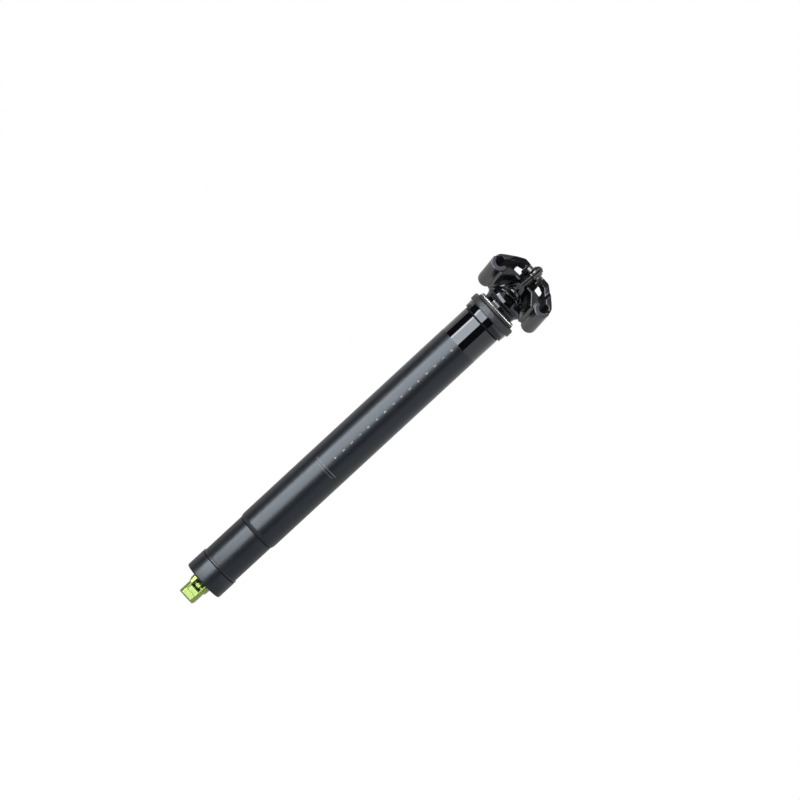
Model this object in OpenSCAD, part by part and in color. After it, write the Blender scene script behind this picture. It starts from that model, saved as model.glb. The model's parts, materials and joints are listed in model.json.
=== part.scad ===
// Dropper seatpost with a two-bolt saddle clamp, fully lowered.
// The origin is on the post axis, where the seat tube's top edge comes to lie.
// +Z runs up the post, +X points to the front of the bicycle, +Y to the rider's left.

/* [Travel] */
// How far the saddle rises
travel = 210; // [120:5:240]
// Running clearance in radius between sliding pieces
run_gap = 0.08; // [0.04:0.01:0.1]
// Clearance in radius of threads and pressed pieces
seat_gap = 0.03; // [0.02:0.01:0.05]
// Gap between pieces that swivel or rest near each other
swivel_gap = 0.3; // [0.2:0.05:0.4]

/* [Outer tube] */
// Diameter that fits the seat tube
tube_d = 31.6; // [30.9:0.1:34.9]
// Wall of the outer tube
tube_wall = 2.1; // [1.9:0.1:2.4]
// How much the slim foot of the tube is set back, in radius
slim_step = 0.8; // [0.4:0.1:1]
// Length of the slim foot that shows above the bottom cap
slim_len = 34.2; // [20:0.1:50]
// Length of the taper from the slim foot to the full diameter
step_taper = 2.4; // [1:0.1:4]
// Length of the tube that screws into the bottom cap
foot_thread = 6; // [4:0.5:9]
// Depth of the thread cut on the tube's top end, in radius
neck_cut = 0.4; // [0.2:0.1:0.6]

/* [Collar and seals] */
// Height of the relief between the seat tube's edge and the collar
relief_h = 1; // [0.5:0.1:2]
// How far the smooth skirt stands out from the tube at its foot, in radius
skirt_out = 1.2; // [0.8:0.1:2]
// How much wider the skirt gets towards its top, in radius
skirt_flare = 0.4; // [0:0.1:0.8]
// Height of the smooth skirt
skirt_h = 5.5; // [4.5:0.1:8]
// Height of the fine groove above the skirt
groove_h = 0.4; // [0.2:0.1:0.8]
// How far the knurled band stands out from the tube, in radius
knurl_out = 2.7; // [2.2:0.1:4]
// Height of the knurled band
knurl_h = 5.7; // [5.2:0.1:9]
// Chamfer of the knurled band
knurl_chamfer = 0.7; // [0.3:0.1:1]
// Height of the wiper seal above the collar
wiper_h = 3.3; // [2.8:0.1:4.5]
// Thickness of the ring spring round the wiper seal
garter_d = 0.9; // [0.6:0.1:1.2]
// Height of the greased foam ring under the wiper seal
foam_h = 2.5; // [1.5:0.1:3]
// Length of the upper bushing inside the outer tube
upper_bush_in = 10; // [8:0.5:16]

/* [Inner tube] */
// Gap between the outer tube's bore and the inner tube, in radius, which the bushings fill
bush_wall = 1; // [0.9:0.05:1.2]
// Wall of the inner tube
post_wall = 1.6; // [1.4:0.1:1.9]
// Length of the lower bushing
lower_bush_len = 11.5; // [8:0.5:18]
// Depth of the lower bushing's seat on the inner tube
bush_seat = 0.2; // [0.1:0.05:0.4]
// Number of guide keys
key_count = 3; // [2:1:4]
// Width of a guide key
key_w = 3; // [2:0.1:4]
// Length of a guide key
key_len = 8; // [6:0.5:14]
// How far a key reaches into the wall of the outer tube
key_depth = 0.5; // [0.3:0.05:0.6]
// Clear length between the two bushings at full height
topout_gap = 0.5; // [0.3:0.1:3]

/* [Gas cartridge] */
// Gap between the inner tube's bore and the cartridge tube, in radius
cart_gap = 1.6; // [1.4:0.05:2]
// Wall of the cartridge tube
cart_wall = 1.2; // [1:0.1:1.5]
// Diameter of the cartridge rod
rod_d = 7; // [6.4:0.1:8]
// Diameter of the valve pin inside the rod
valve_d = 2.6; // [2:0.1:3]
// Height of the piston
piston_h = 8; // [7:0.5:10]
// Height of the floating piston
float_h = 6; // [5:0.5:7]
// Length of the rod guide
guide_h = 10; // [9:0.5:12]
// Diameter of the stud that holds the cartridge in the head
stud_d = 8; // [6:0.5:10]

/* [Bottom cap] */
// Height of the cap's skirt below its floor
cap_skirt = 6.1; // [4:0.1:6.4]
// Thickness of the cap's floor
cap_floor = 4.5; // [3:0.5:6]
// Wall of the cap's open skirt
cap_wall = 2.35; // [1.8:0.05:2.4]
// How far the cap's side is set back from the tube's full radius
cap_inset = 0.05; // [0:0.05:0.2]
// Rounding of the cap's lower edge
cap_round = 2; // [1:0.1:2.2]

/* [Actuator] */
// Width of the actuator's fork
fork_w = 12.8; // [12:0.1:14]
// Width of the slot for the lever
slot_w = 7.8; // [7:0.1:8.6]
// Depth of the fork below the bottom cap
fork_h = 16; // [15:0.1:20]
// Diameter of the actuator's round hub
hub_d = 14.4; // [14:0.1:16]
// How far the lever's pivot sits in front of the post axis
pivot_x = 4.6; // [4:0.1:5]
// How far the cable sits in front of the post axis
cable_x = 11.6; // [11:0.1:11.8]
// Diameter of the cable housing's end
housing_d = 5.1; // [4.2:0.1:5.6]
// Depth of the seat for the cable housing
housing_depth = 4; // [3:0.1:4.3]
// Width of the lever's nose
nose_w = 3.1; // [2.4:0.1:5]
// Diameter of the lever's pin
lever_pin_d = 2.5; // [2:0.1:3]
// Diameter of the barrel that clamps the cable
barrel_d = 4.5; // [4:0.1:4.6]

/* [Saddle clamp] */
// Height of the saddle rails above the seat tube's edge
rail_z = 32.3; // [32:0.1:34]
// Tilt of the clamp as shown, nose down
clamp_tilt = 22; // [21:0.5:23]
// Diameter of a saddle rail
rail_d = 7; // [6.8:0.1:7.2]
// Distance between the two rails
rail_gap = 44; // [43.6:0.1:44.4]
// Length of the cradle behind the post axis
cradle_rear = 20; // [19:0.1:21]
// Length of the cradle in front of the post axis
cradle_front = 20.5; // [19.5:0.1:22]
// Radius of a rail trough outside
trough_r = 5.85; // [5.4:0.05:6]
// How much thicker a trough is underneath
trough_drop = 1.3; // [0.8:0.1:1.6]
// Radius of the cradle's round rocker
rocker_r = 9.5; // [9:0.1:9.6]
// Half width of the rocker
rocker_y = 11.5; // [10:0.1:12]
// Height of the upper clamp's crown above the rails
crown_v = 15.7; // [15.2:0.1:16.2]
// Half width of the crown's flat top
crown_y = 11.8; // [10:0.1:13]
// Thickness of the upper clamp's arms
arm_t = 4.4; // [3.8:0.1:4.8]
// Thickness of the upper clamp's crown
crown_t = 3.3; // [2.8:0.1:3.6]
// Height above the rails where the upper clamp's arms turn down to their ends
shoulder_v = 4.9; // [4.5:0.1:5.5]
// Rounding of the upper clamp's outer corners
shoulder_r = 2.4; // [1.5:0.1:2.6]
// Gap between the two halves of the clamp
jaw_gap = 0.9; // [0.6:0.1:1.2]
// Half width of the spine between the two windows
spine_y = 7.45; // [6.5:0.05:8]
// Half width of the clamp out to the windows' outer edges
window_y = 15.8; // [14:0.1:17]
// Length of the windows behind the post axis
window_rear = 9; // [8:0.1:10]
// Length of the windows in front of the post axis
window_front = 11.5; // [10:0.1:12]

/* [Clamp bolts] */
// How far the rear bolt sits behind the middle of the clamp
rear_bolt_u = 17; // [16.5:0.1:17.4]
// How far the rear bolt's pivot lies below the rails
rear_drop = 10.2; // [10:0.1:10.6]
// How far the front bolt's pivot sits in front of the post axis
front_foot_x = 19; // [18.9:0.1:19.6]
// Clear height of the front bolt's pivot above the wiper seal
front_foot_up = 1.4; // [1.3:0.1:2]
// Lean of the front bolt towards the front
front_lean = 8; // [6:0.5:9]
// Height of the barrel nuts above the rails
nut_v = 12.8; // [12.5:0.1:13]
// Diameter of the bolt shank at the thread's root
shank_d = 5.3; // [5:0.1:5.4]
// Length of the bolts above their pivot
bolt_len = 30; // [28:0.5:31]
// Diameter of the bolt head
bolt_head_d = 10.8; // [10:0.1:11]
// Radius of the bolt head's round seat
ball_r = 6; // [5.8:0.1:6.2]
// Size of the hexagon socket across its flats
hex_af = 5; // [4:0.5:5]

/* [Hidden] */
$fn = 72;
hull_fn = 32;
// A little more than a cut needs, so that it breaks the surface
eps = 0.01;

// Radii of the outer tube
tube_r = tube_d / 2;
bore_r = tube_r - tube_wall;
slim_r = tube_r - slim_step;
thread_r = tube_r - neck_cut;
post_r = bore_r - bush_wall;
post_bore_r = post_r - post_wall;

// Heights of the collar and the seals, from the seat tube's edge upwards
skirt_top = relief_h + skirt_h;
band_bot = skirt_top + groove_h;
collar_top = band_bot + knurl_h;
tube_top = relief_h + 5;
wiper_top = collar_top + wiper_h;
foam_top = collar_top - 0.8;
foam_bot = foam_top - foam_h;
lip_top = foam_bot - 0.1;
upper_bush_top = lip_top - 0.2;
neck_z = wiper_top + swivel_gap;

// Heights of the inner tube's foot, stacked down from the upper bushing
lower_bush_top = -upper_bush_in - travel - topout_gap;
lower_bush_bot = lower_bush_top - lower_bush_len;
key_top = lower_bush_bot - 1;
key_bot = key_top - key_len;
post_bot = key_bot - 1;
groove_r = bore_r + key_depth + run_gap;
groove_top = key_top + travel + 2;

// Heights of the cartridge and the bottom cap
cart_r = post_bore_r - cart_gap;
cyl_r = cart_r - cart_wall;
rod_r = rod_d / 2;
guide_flange = 2;
guide_bot = post_bot - 5;
guide_top = guide_bot + guide_flange + guide_h;
rod_shoulder_h = 4;
rod_shoulder_top = guide_bot - 2;
floor_top = rod_shoulder_top - rod_shoulder_h;
floor_bot = floor_top - cap_floor;
cap_bot = floor_bot - cap_skirt;
cap_top = floor_top + foot_thread;
step_z = cap_top + slim_len;
cap_r = tube_r - cap_inset;
cap_mouth_r = cap_r - cap_wall;
piston_bot = guide_top + travel + 1;
piston_top = piston_bot + piston_h;
float_bot = piston_top + 4.5;
float_top = float_bot + float_h;
cart_flange = 3;
head_floor = neck_z - 0.2;
cart_top = head_floor - cart_flange;
cart_plug = 3;
stud_h = 5;
spigot_len = 27;

// Places of the actuator's parts
fork_bot = cap_bot - fork_h;
fork_top = cap_bot - 0.6;
pivot_z = cap_bot - 5;
slot_top = floor_bot - 4.3;
rod_foot = floor_bot - 3.5;
pin_foot = slot_top - 3.4;
nose_top = pin_foot - swivel_gap;
rear_slot_bot = pivot_z - 2.1;
front_slot_bot = pivot_z - 5;
barrel_z = pivot_z + 2.8;
fork_back = -7;
fork_front = cable_x + 3.2;
rod_stub_r = 5;
lever_hub_r = lever_pin_d / 2 + 1.7;

// Places of the saddle clamp's parts, u along the rails, v square to them
rail_r = rail_d / 2;
rail_y = rail_gap / 2;
jaw_low = 0.2;
web_top = 2.85;
web_low = 0.9;
leg_y = rail_y - trough_r + 0.8;
leg_low = 6.2;
rocker_x = rocker_r + 2.5;
clamp_front = cradle_front + 1.5;
seat_r = rocker_r + swivel_gap;
shank_r = shank_d / 2;
nut_bore_r = shank_r + 0.45;
sleeve_r = nut_bore_r + 0.8;
bolt_way = shank_r + 0.95;
barrel_nut_r = 2.9;
barrel_nut_len = 12.4;
notch_r = sleeve_r + 0.8;
lug_y = barrel_nut_len / 2 + 1.7;
lug_u = barrel_nut_r + 1;
lug_h = 7.5;
ear_r = 6.2;
ear_low = 3;
ear_hole_r = shank_r + 1.05;
head_low = 0.8;
cos_t = cos(clamp_tilt);
sin_t = sin(clamp_tilt);
function clamp_xz(u, v) = [u * cos_t + v * sin_t, rail_z - u * sin_t + v * cos_t];
function height_v(p) = p[0] * sin_t + (p[1] - rail_z) * cos_t;
function along(p, lean, s) = [p[0] + s * sin(lean), p[1] + s * cos(lean)];
rear_foot = clamp_xz(-rear_bolt_u, -rear_drop);
front_foot = [front_foot_x, wiper_top + front_foot_up];
rear_nut_s = nut_v + rear_drop;
front_nut_s = (nut_v - height_v(front_foot)) / cos(clamp_tilt - front_lean);
rear_nut = along(rear_foot, clamp_tilt, rear_nut_s);
front_nut = along(front_foot, front_lean, front_nut_s);
front_nut_u = front_nut[0] * cos_t - (front_nut[1] - rail_z) * sin_t;
rear_ear_top = rear_drop - 1.1;
front_ear_top = 7.5;
ear_way = ear_r + 1.6;

// Points of an arc
function arc(cx, cy, r, a0, a1, n = 8) =
    [for (i = [0:n]) let (a = a0 + (a1 - a0) * i / n) [cx + r * cos(a), cy + r * sin(a)]];
// A right-hand outline, run from the middle outwards and back, closed over the middle line
function both_sides(points) =
    concat(points, [for (i = [len(points) - 1:-1:0]) [-points[i][0], points[i][1]]]);
// A rectangle with round corners
function round_rect(x0, x1, y0, y1, r) = concat(
    arc(x1 - r, y1 - r, r, 0, 90), arc(x0 + r, y1 - r, r, 90, 180),
    arc(x0 + r, y0 + r, r, 180, 270), arc(x1 - r, y0 + r, r, 270, 360));

module turned(points) {
    rotate_extrude()
        polygon(points);
}

module tube(z0, z1, inner, outer, edge = 0.2) {
    turned([[inner, z0], [outer - edge, z0], [outer, z0 + edge], [outer, z1 - edge],
        [outer - edge, z1], [inner, z1]]);
}

module in_clamp() {
    translate([0, 0, rail_z])
        rotate([0, clamp_tilt, 0])
            children();
}

// Stretches a y-v outline along the rails
module along_rail(u0, u1) {
    translate([u0, 0, 0])
        rotate([90, 0, 90])
            linear_extrude(u1 - u0)
                children();
}

module on_bolt(foot, lean) {
    translate([foot[0], 0, foot[1]])
        rotate([0, lean, 0])
            children();
}

module across(x, z, r, half) {
    translate([x, 0, z])
        rotate([90, 0, 0])
            cylinder(r = r, h = 2 * half, center = true);
}

// The outer tube slides into the seat tube and guides the keys in its long grooves
module outer_tube() {
    color([0.16, 0.17, 0.19])
        difference() {
            turned([[bore_r, floor_top], [slim_r - 0.4, floor_top], [slim_r, floor_top + 0.4],
                [slim_r, step_z], [slim_r + 0.2, step_z], [tube_r, step_z + step_taper], [tube_r, 0],
                [thread_r, 0], [thread_r, tube_top - 0.4], [thread_r - 0.4, tube_top], [bore_r, tube_top]]);
            for (i = [0:key_count - 1])
                rotate([0, 0, i * 360 / key_count])
                    translate([bore_r - 1, -key_w / 2 - run_gap, floor_top - 1])
                        cube([1 + key_depth + run_gap, key_w + 2 * run_gap, groove_top - floor_top + 1]);
        }
}

// The collar screws over the tube's top end and holds the bushing, the foam ring and the wiper seal
module top_collar() {
    foot_r = tube_r + skirt_out;
    flare_r = foot_r + skirt_flare;
    band_r = tube_r + knurl_out;
    color([0.13, 0.13, 0.15])
        turned([[thread_r + seat_gap, relief_h], [foot_r - 0.3, relief_h], [foot_r, relief_h + 0.3],
            [flare_r, skirt_top - 0.3], [flare_r - 0.3, skirt_top],
            [flare_r - 0.5, skirt_top], [flare_r - 0.5, band_bot], [band_r - knurl_chamfer / 2, band_bot],
            [band_r, band_bot + knurl_chamfer / 2], [band_r, collar_top - knurl_chamfer],
            [band_r - knurl_chamfer, collar_top], [thread_r - 0.4, collar_top], [thread_r - 0.4, foam_top],
            [bore_r + 1.2, foam_top], [bore_r + 1.2, lip_top], [bore_r + seat_gap, lip_top],
            [bore_r + seat_gap, tube_top], [thread_r + seat_gap, tube_top]]);
}

// The rubber wiper stands on the collar and keeps dirt off the inner tube
module wiper_seal() {
    base_r = thread_r - 0.4 - seat_gap;
    rim_r = tube_r + 0.1;
    spring_z = wiper_top - 1.05;
    lip_r = post_r + run_gap;
    color([0.1, 0.1, 0.11])
        turned([[lip_r + 1, foam_top + 0.05], [base_r, foam_top + 0.05], [base_r, collar_top],
            [rim_r, collar_top], [rim_r - 0.4, spring_z - garter_d / 2],
            [rim_r - 0.3 - garter_d, spring_z - garter_d / 2], [rim_r - 0.3 - garter_d, spring_z + garter_d / 2],
            [rim_r - 0.7, spring_z + garter_d / 2], [rim_r - 0.9, wiper_top], [lip_r + 0.9, wiper_top],
            [lip_r, wiper_top - 0.5], [lip_r, wiper_top - 0.9], [lip_r + 1, wiper_top - 2]]);
}

// A ring spring keeps the wiper's lip closed
module garter_spring() {
    ring_r = tube_r - 0.2 - garter_d / 2;
    color([0.9, 0.9, 0.86])
        translate([0, 0, wiper_top - 1.05])
            rotate_extrude()
                translate([ring_r, 0])
                    circle(d = garter_d - 2 * seat_gap, $fn = 20);
}

module foam_ring() {
    color([0.35, 0.33, 0.3])
        tube(foam_bot, foam_top - 0.05, post_r + swivel_gap, bore_r + 1.2 - seat_gap);
}

module upper_bushing() {
    color([0.75, 0.72, 0.62])
        difference() {
            tube(-upper_bush_in, upper_bush_top, post_r + run_gap, bore_r - seat_gap);
            translate([post_r - 1, -0.4, -upper_bush_in - 1])
                cube([tube_wall + 3, 0.8, upper_bush_top + upper_bush_in + 2]);
        }
}

// The cap closes the tube, carries the cartridge rod on its floor and shields the actuator's top
module bottom_cap() {
    color([0.17, 0.18, 0.2])
        turned(concat(
            [[rod_stub_r + seat_gap, floor_top], [slim_r + seat_gap, floor_top],
                [slim_r + seat_gap, cap_top], [cap_r - 0.5, cap_top], [cap_r, cap_top - 1.2]],
            arc(cap_r - cap_round, cap_bot + cap_round, cap_round, 0, -90),
            [[cap_mouth_r, cap_bot], [cap_mouth_r, floor_bot], [rod_stub_r + seat_gap, floor_bot]]));
}

// The hollow rod stands on the cap's floor and reaches up into the cartridge
module cartridge_rod() {
    color([0.75, 0.76, 0.78])
        turned([[valve_d / 2 + 0.3, rod_foot], [rod_stub_r - 0.4, rod_foot], [rod_stub_r, rod_foot + 0.4],
            [rod_stub_r, floor_top], [rod_stub_r + 1.5, floor_top], [rod_stub_r + 1.5, rod_shoulder_top],
            [rod_r, rod_shoulder_top], [rod_r, piston_top - 2], [valve_d / 2 + 0.3, piston_top - 2]]);
}

module cartridge_piston() {
    groove_in = cyl_r - 0.9;
    color([0.72, 0.66, 0.4])
        turned([[rod_r + seat_gap, piston_bot], [cyl_r - 0.4, piston_bot], [cyl_r - 0.2, piston_bot + 0.3],
            [cyl_r - 0.2, piston_bot + 2.5], [groove_in, piston_bot + 2.5], [groove_in, piston_top - 2.5],
            [cyl_r - 0.2, piston_top - 2.5], [cyl_r - 0.2, piston_top - 0.3], [cyl_r - 0.4, piston_top],
            [valve_d / 2 + 0.3, piston_top], [valve_d / 2 + 0.3, piston_top - 2], [rod_r + seat_gap, piston_top - 2]]);
}

module piston_ring() {
    color([0.85, 0.85, 0.82])
        tube(piston_bot + 2.55, piston_top - 2.55, cyl_r - 0.9 + seat_gap, cyl_r - run_gap, 0.1);
}

// The valve pin runs down the hollow rod, from its mushroom head to the lever's nose
module valve_pin() {
    head_r = valve_d / 2 + 1;
    color([0.8, 0.8, 0.82])
        turned([[0, pin_foot], [valve_d / 2 - 0.3, pin_foot], [valve_d / 2, pin_foot + 0.3],
            [valve_d / 2, piston_top + 0.2], [head_r, piston_top + 0.5], [head_r, piston_top + 1.1],
            [0, piston_top + 1.1]]);
}

// The green fork screws onto the rod's foot; its slot holds the lever, its floor the cable housing
module actuator_body() {
    half = fork_w / 2;
    hub_r = hub_d / 2;
    color([0.62, 0.8, 0.22])
        difference() {
            union() {
                turned([[0, pivot_z - 1], [half - 0.2, pivot_z - 1], [hub_r, pivot_z + 1.2], [hub_r, floor_bot - 0.4],
                    [hub_r - 0.4, floor_bot], [0, floor_bot]]);
                translate([0, 0, fork_bot])
                    linear_extrude(fork_top - fork_bot)
                        polygon(round_rect(fork_back, fork_front, -half, half, 2.2));
            }
            // Thread for the rod's foot
            translate([0, 0, rod_foot - 0.2])
                cylinder(r = rod_stub_r + seat_gap, h = floor_bot - rod_foot + 1);
            translate([0, 0, slot_top - 1])
                cylinder(r = valve_d / 2 + swivel_gap, h = rod_foot - slot_top + 1);
            // Slot for the lever, deeper in front where the cable pulls it down
            translate([fork_back - 1, -slot_w / 2, rear_slot_bot])
                cube([fork_front - fork_back + 2, slot_w, slot_top - rear_slot_bot]);
            translate([pivot_x - lever_hub_r - 2 * swivel_gap, -slot_w / 2, front_slot_bot])
                cube([fork_front, slot_w, slot_top - front_slot_bot]);
            // Step and chamfer on the rear face
            translate([fork_back - 1, -slot_w / 2, rear_slot_bot - 3.8])
                cube([1.9, slot_w, 3.8 + eps]);
            translate([fork_back, 0, fork_bot])
                rotate([0, 45, 0])
                    cube([1.4, fork_w + 2, 1.4], center = true);
            // Pin hole, housing seat and the cable's way through the floor
            across(pivot_x, pivot_z, lever_pin_d / 2 + seat_gap, half + 1);
            translate([cable_x, 0, fork_bot - eps])
                cylinder(d = housing_d, h = housing_depth + eps);
            translate([cable_x, 0, fork_bot])
                cylinder(d = 1.8, h = fork_h, $fn = 24);
            // Slit that lets the cable in from the front
            translate([cable_x, -0.9, fork_bot - eps])
                cube([6, 1.8, front_slot_bot - fork_bot + 1]);
        }
}

module lever_pin() {
    half = fork_w / 2 + 1.1;
    r = lever_pin_d / 2;
    color([0.3, 0.31, 0.33])
        translate([pivot_x, 0, pivot_z])
            rotate([90, 0, 0])
                translate([0, 0, -half])
                    turned([[0, 0], [r - 0.3, 0], [r, 0.3], [r, 2 * half - 0.3], [r - 0.3, 2 * half], [0, 2 * half]]);
}

// The lever's nose lifts the valve pin while the cable pulls its hooked end down
module actuator_lever() {
    hub_half = slot_w / 2 - swivel_gap;
    hook_r = barrel_d / 2 + 0.15;
    nose_back = fork_back + 4.6;
    hook_front = cable_x + 2.2;
    color([0.66, 0.85, 0.28])
        difference() {
            union() {
                across(pivot_x, pivot_z, lever_hub_r, hub_half);
                // Nose, narrow, with a round end under the valve pin
                rotate([90, 0, 0])
                    linear_extrude(nose_w, center = true)
                        polygon(concat(
                            [[pivot_x, nose_top - 0.2], [1.5, nose_top], [nose_back + 1.6, nose_top]],
                            arc(nose_back + 1.6, nose_top - 1.6, 1.6, 90, 180),
                            arc(nose_back + 1.4, pivot_z - 0.3, 1.4, 180, 270),
                            [[pivot_x, pivot_z - 2.4]]));
                // Hooked arm under the cable's barrel
                rotate([90, 0, 0])
                    linear_extrude(2 * hub_half, center = true)
                        polygon([[pivot_x, pivot_z + 2.6], [cable_x - 2.6, pivot_z + 2.6], [cable_x - 2.6, barrel_z - 0.4],
                            [hook_front, barrel_z - 0.8], [hook_front, pivot_z - 0.6], [hook_front - 0.6, pivot_z - 1.1],
                            [pivot_x, pivot_z - 1.8]]);
            }
            across(pivot_x, pivot_z, lever_pin_d / 2 + run_gap, hub_half + 1);
            across(cable_x, barrel_z, hook_r, hub_half + 1);
            translate([cable_x - hook_r, -hub_half - 1, barrel_z])
                cube([2 * hook_r, 2 * hub_half + 2, 6]);
            // Slit for the cable
            translate([cable_x - 0.9, -0.9, pivot_z - 5])
                cube([6, 1.8, 12]);
        }
}

// The barrel lies across the lever's hook and grips the cable
module cable_barrel() {
    half = slot_w / 2 - swivel_gap - 0.2;
    color([0.78, 0.78, 0.8])
        difference() {
            across(cable_x, barrel_z, barrel_d / 2, half);
            translate([cable_x, 0, barrel_z - barrel_d])
                cylinder(d = 1.8, h = 2 * barrel_d, $fn = 24);
            translate([cable_x, 0, barrel_z])
                rotate([0, 90, 0])
                    cylinder(d = 3, h = barrel_d, $fn = 24);
        }
}

module cable_grub_screw() {
    grub_len = barrel_d / 2 - 1.45;
    color([0.2, 0.2, 0.22])
        translate([cable_x + 0.9, 0, barrel_z])
            rotate([0, 90, 0])
                difference() {
                    cylinder(d = 3 - 2 * seat_gap, h = grub_len, $fn = 24);
                    translate([0, 0, grub_len / 2])
                        cylinder(d = 1.7, h = grub_len, $fn = 6);
                }
}

// The inner tube slides in the bushings; the keys sit in its foot
module inner_tube() {
    color([0.09, 0.09, 0.1])
        difference() {
            turned([[post_bore_r, post_bot], [post_r - 0.5, post_bot], [post_r, post_bot + 0.5],
                [post_r, lower_bush_bot - eps], [post_r - bush_seat, lower_bush_bot - eps],
                [post_r - bush_seat, lower_bush_top + eps], [post_r, lower_bush_top + eps],
                [post_r, neck_z], [post_bore_r, neck_z]]);
            for (i = [0:key_count - 1])
                rotate([0, 0, i * 360 / key_count])
                    translate([post_bore_r + 0.8, -key_w / 2, key_bot])
                        cube([post_wall, key_w, key_len]);
        }
}

module lower_bushing() {
    color([0.75, 0.72, 0.62])
        tube(lower_bush_bot, lower_bush_top, post_r - bush_seat + seat_gap, bore_r - run_gap);
}

// Brass keys stop the saddle from turning
module guide_keys() {
    color([0.8, 0.65, 0.3])
        for (i = [0:key_count - 1])
            rotate([0, 0, i * 360 / key_count])
                translate([post_bore_r + 0.8, -key_w / 2, key_bot])
                    cube([bore_r + key_depth - post_bore_r - 0.8, key_w, key_len]);
}

// The head plugs into the inner tube; its round seat carries the cradle, its two ears the bolts
module post_head() {
    neck_r = post_r + 0.33;
    flare_r = neck_r + 2.04;
    flare_z = neck_z + 5.6;
    color([0.1, 0.1, 0.11])
        difference() {
            union() {
                turned([[cart_r + swivel_gap, neck_z - spigot_len], [post_bore_r - seat_gap, neck_z - spigot_len],
                    [post_bore_r - seat_gap, neck_z], [neck_r - 0.3, neck_z], [neck_r, neck_z + 0.3],
                    [neck_r, neck_z + 3.4], [flare_r - 0.5, flare_z - 0.9], [flare_r, flare_z - 0.2],
                    [flare_r, flare_z + 0.3], [flare_r - 0.9, flare_z + 1.4], [0, flare_z + 1.4],
                    [0, head_floor], [cart_r + swivel_gap, head_floor]]);
                // Dome behind the round seat
                hull() {
                    translate([0, 0, flare_z - 0.2])
                        cylinder(r = flare_r, h = 0.5, $fn = 48);
                    for (side = [-1, 1]) {
                        translate([-6.5, side * 9.7, flare_z])
                            cylinder(r = 3, h = 5, $fn = hull_fn);
                        translate([-9.4, side * 6.6, flare_z])
                            cylinder(r = 2.6, h = 9.2, $fn = hull_fn);
                    }
                }
                // Rear ear, on gussets that rise from the dome
                hull() {
                    for (side = [-1, 1])
                        translate([-9.4, side * 6.4, flare_z + 4])
                            cylinder(r = 2.6, h = 5.2, $fn = hull_fn);
                    on_bolt(rear_foot, clamp_tilt)
                        translate([0, 0, ear_low])
                            cylinder(r = ear_r, h = rear_ear_top - ear_low - 0.6, $fn = hull_fn);
                    on_bolt(rear_foot, clamp_tilt)
                        translate([0, 0, ear_low])
                            cylinder(r = ear_r - 0.8, h = rear_ear_top - ear_low, $fn = hull_fn);
                }
                // Front ear
                hull() {
                    translate([0, 0, flare_z - 0.2])
                        cylinder(r = flare_r, h = 0.5, $fn = 48);
                    for (side = [-1, 1])
                        translate([8, side * 7.5, flare_z])
                            cylinder(r = 3, h = 2.6, $fn = hull_fn);
                    on_bolt(front_foot, front_lean)
                        translate([0, 0, ear_low])
                            cylinder(r = ear_r, h = front_ear_top - ear_low - 0.6, $fn = hull_fn);
                    on_bolt(front_foot, front_lean)
                        translate([0, 0, ear_low])
                            cylinder(r = ear_r - 0.8, h = front_ear_top - ear_low, $fn = hull_fn);
                }
            }
            // Round seat for the rocker
            across(0, rail_z, seat_r, flare_r + 5);
            // Threaded hole for the cartridge's stud
            translate([0, 0, head_floor - eps])
                cylinder(d = stud_d + 2 * seat_gap, h = stud_h);
            // Pockets, round seats and holes for the two bolts
            bolt_room(rear_foot, clamp_tilt, 14);
            bolt_room(front_foot, front_lean, 8);
            on_bolt(rear_foot, clamp_tilt)
                translate([-20, -15, ear_low - 14])
                    cube([23, 30, 14 + eps]);
        }
}

module bolt_room(foot, lean, depth) {
    on_bolt(foot, lean) {
        translate([0, 0, ear_low - depth])
            cylinder(r = bolt_head_d / 2 + 0.5, h = depth);
        sphere(r = ball_r + swivel_gap);
        cylinder(r = ear_hole_r, h = 20);
    }
}

module cartridge_tube() {
    color([0.7, 0.71, 0.73])
        tube(guide_bot + guide_flange, cart_top, cyl_r, cart_r);
}

// The cap closes the gas chamber and screws into the head
module cartridge_cap() {
    color([0.6, 0.61, 0.63])
        turned([[0, cart_top - cart_plug], [cyl_r - seat_gap, cart_top - cart_plug], [cyl_r - seat_gap, cart_top],
            [cart_r, cart_top], [cart_r, head_floor], [stud_d / 2, head_floor],
            [stud_d / 2, head_floor + stud_h - 0.6], [stud_d / 2 - 0.4, head_floor + stud_h - 0.2],
            [0, head_floor + stud_h - 0.2]]);
}

module rod_guide() {
    plug_r = cyl_r - seat_gap;
    seal_bot = guide_bot + 5;
    color([0.35, 0.36, 0.38])
        turned([[rod_r + run_gap, guide_bot], [cart_r - 0.4, guide_bot], [cart_r, guide_bot + 0.4],
            [cart_r, guide_bot + guide_flange], [plug_r, guide_bot + guide_flange], [plug_r, guide_top],
            [rod_r + run_gap, guide_top], [rod_r + run_gap, seal_bot + 2], [rod_r + 2, seal_bot + 2],
            [rod_r + 2, seal_bot], [rod_r + run_gap, seal_bot]]);
}

module rod_seal() {
    color([0.08, 0.08, 0.09])
        tube(guide_bot + 5.05, guide_bot + 6.95, rod_r + run_gap, rod_r + 2 - seat_gap, 0.3);
}

// The floating piston parts the gas above it from the oil
module floating_piston() {
    groove_in = cyl_r - 1.4;
    color([0.85, 0.85, 0.87])
        turned([[0, float_bot], [cyl_r - 0.6, float_bot], [cyl_r - run_gap, float_bot + 0.5],
            [cyl_r - run_gap, float_bot + 2], [groove_in, float_bot + 2], [groove_in, float_top - 2],
            [cyl_r - run_gap, float_top - 2], [cyl_r - run_gap, float_top - 0.5], [cyl_r - 0.6, float_top],
            [cyl_r - 2.5, float_top], [cyl_r - 3, float_top - 2.5], [0, float_top - 2.5]]);
}

module floating_piston_ring() {
    color([0.08, 0.08, 0.09])
        tube(float_bot + 2.05, float_top - 2.05, cyl_r - 1.4 + seat_gap, cyl_r - run_gap, 0.3);
}

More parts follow.
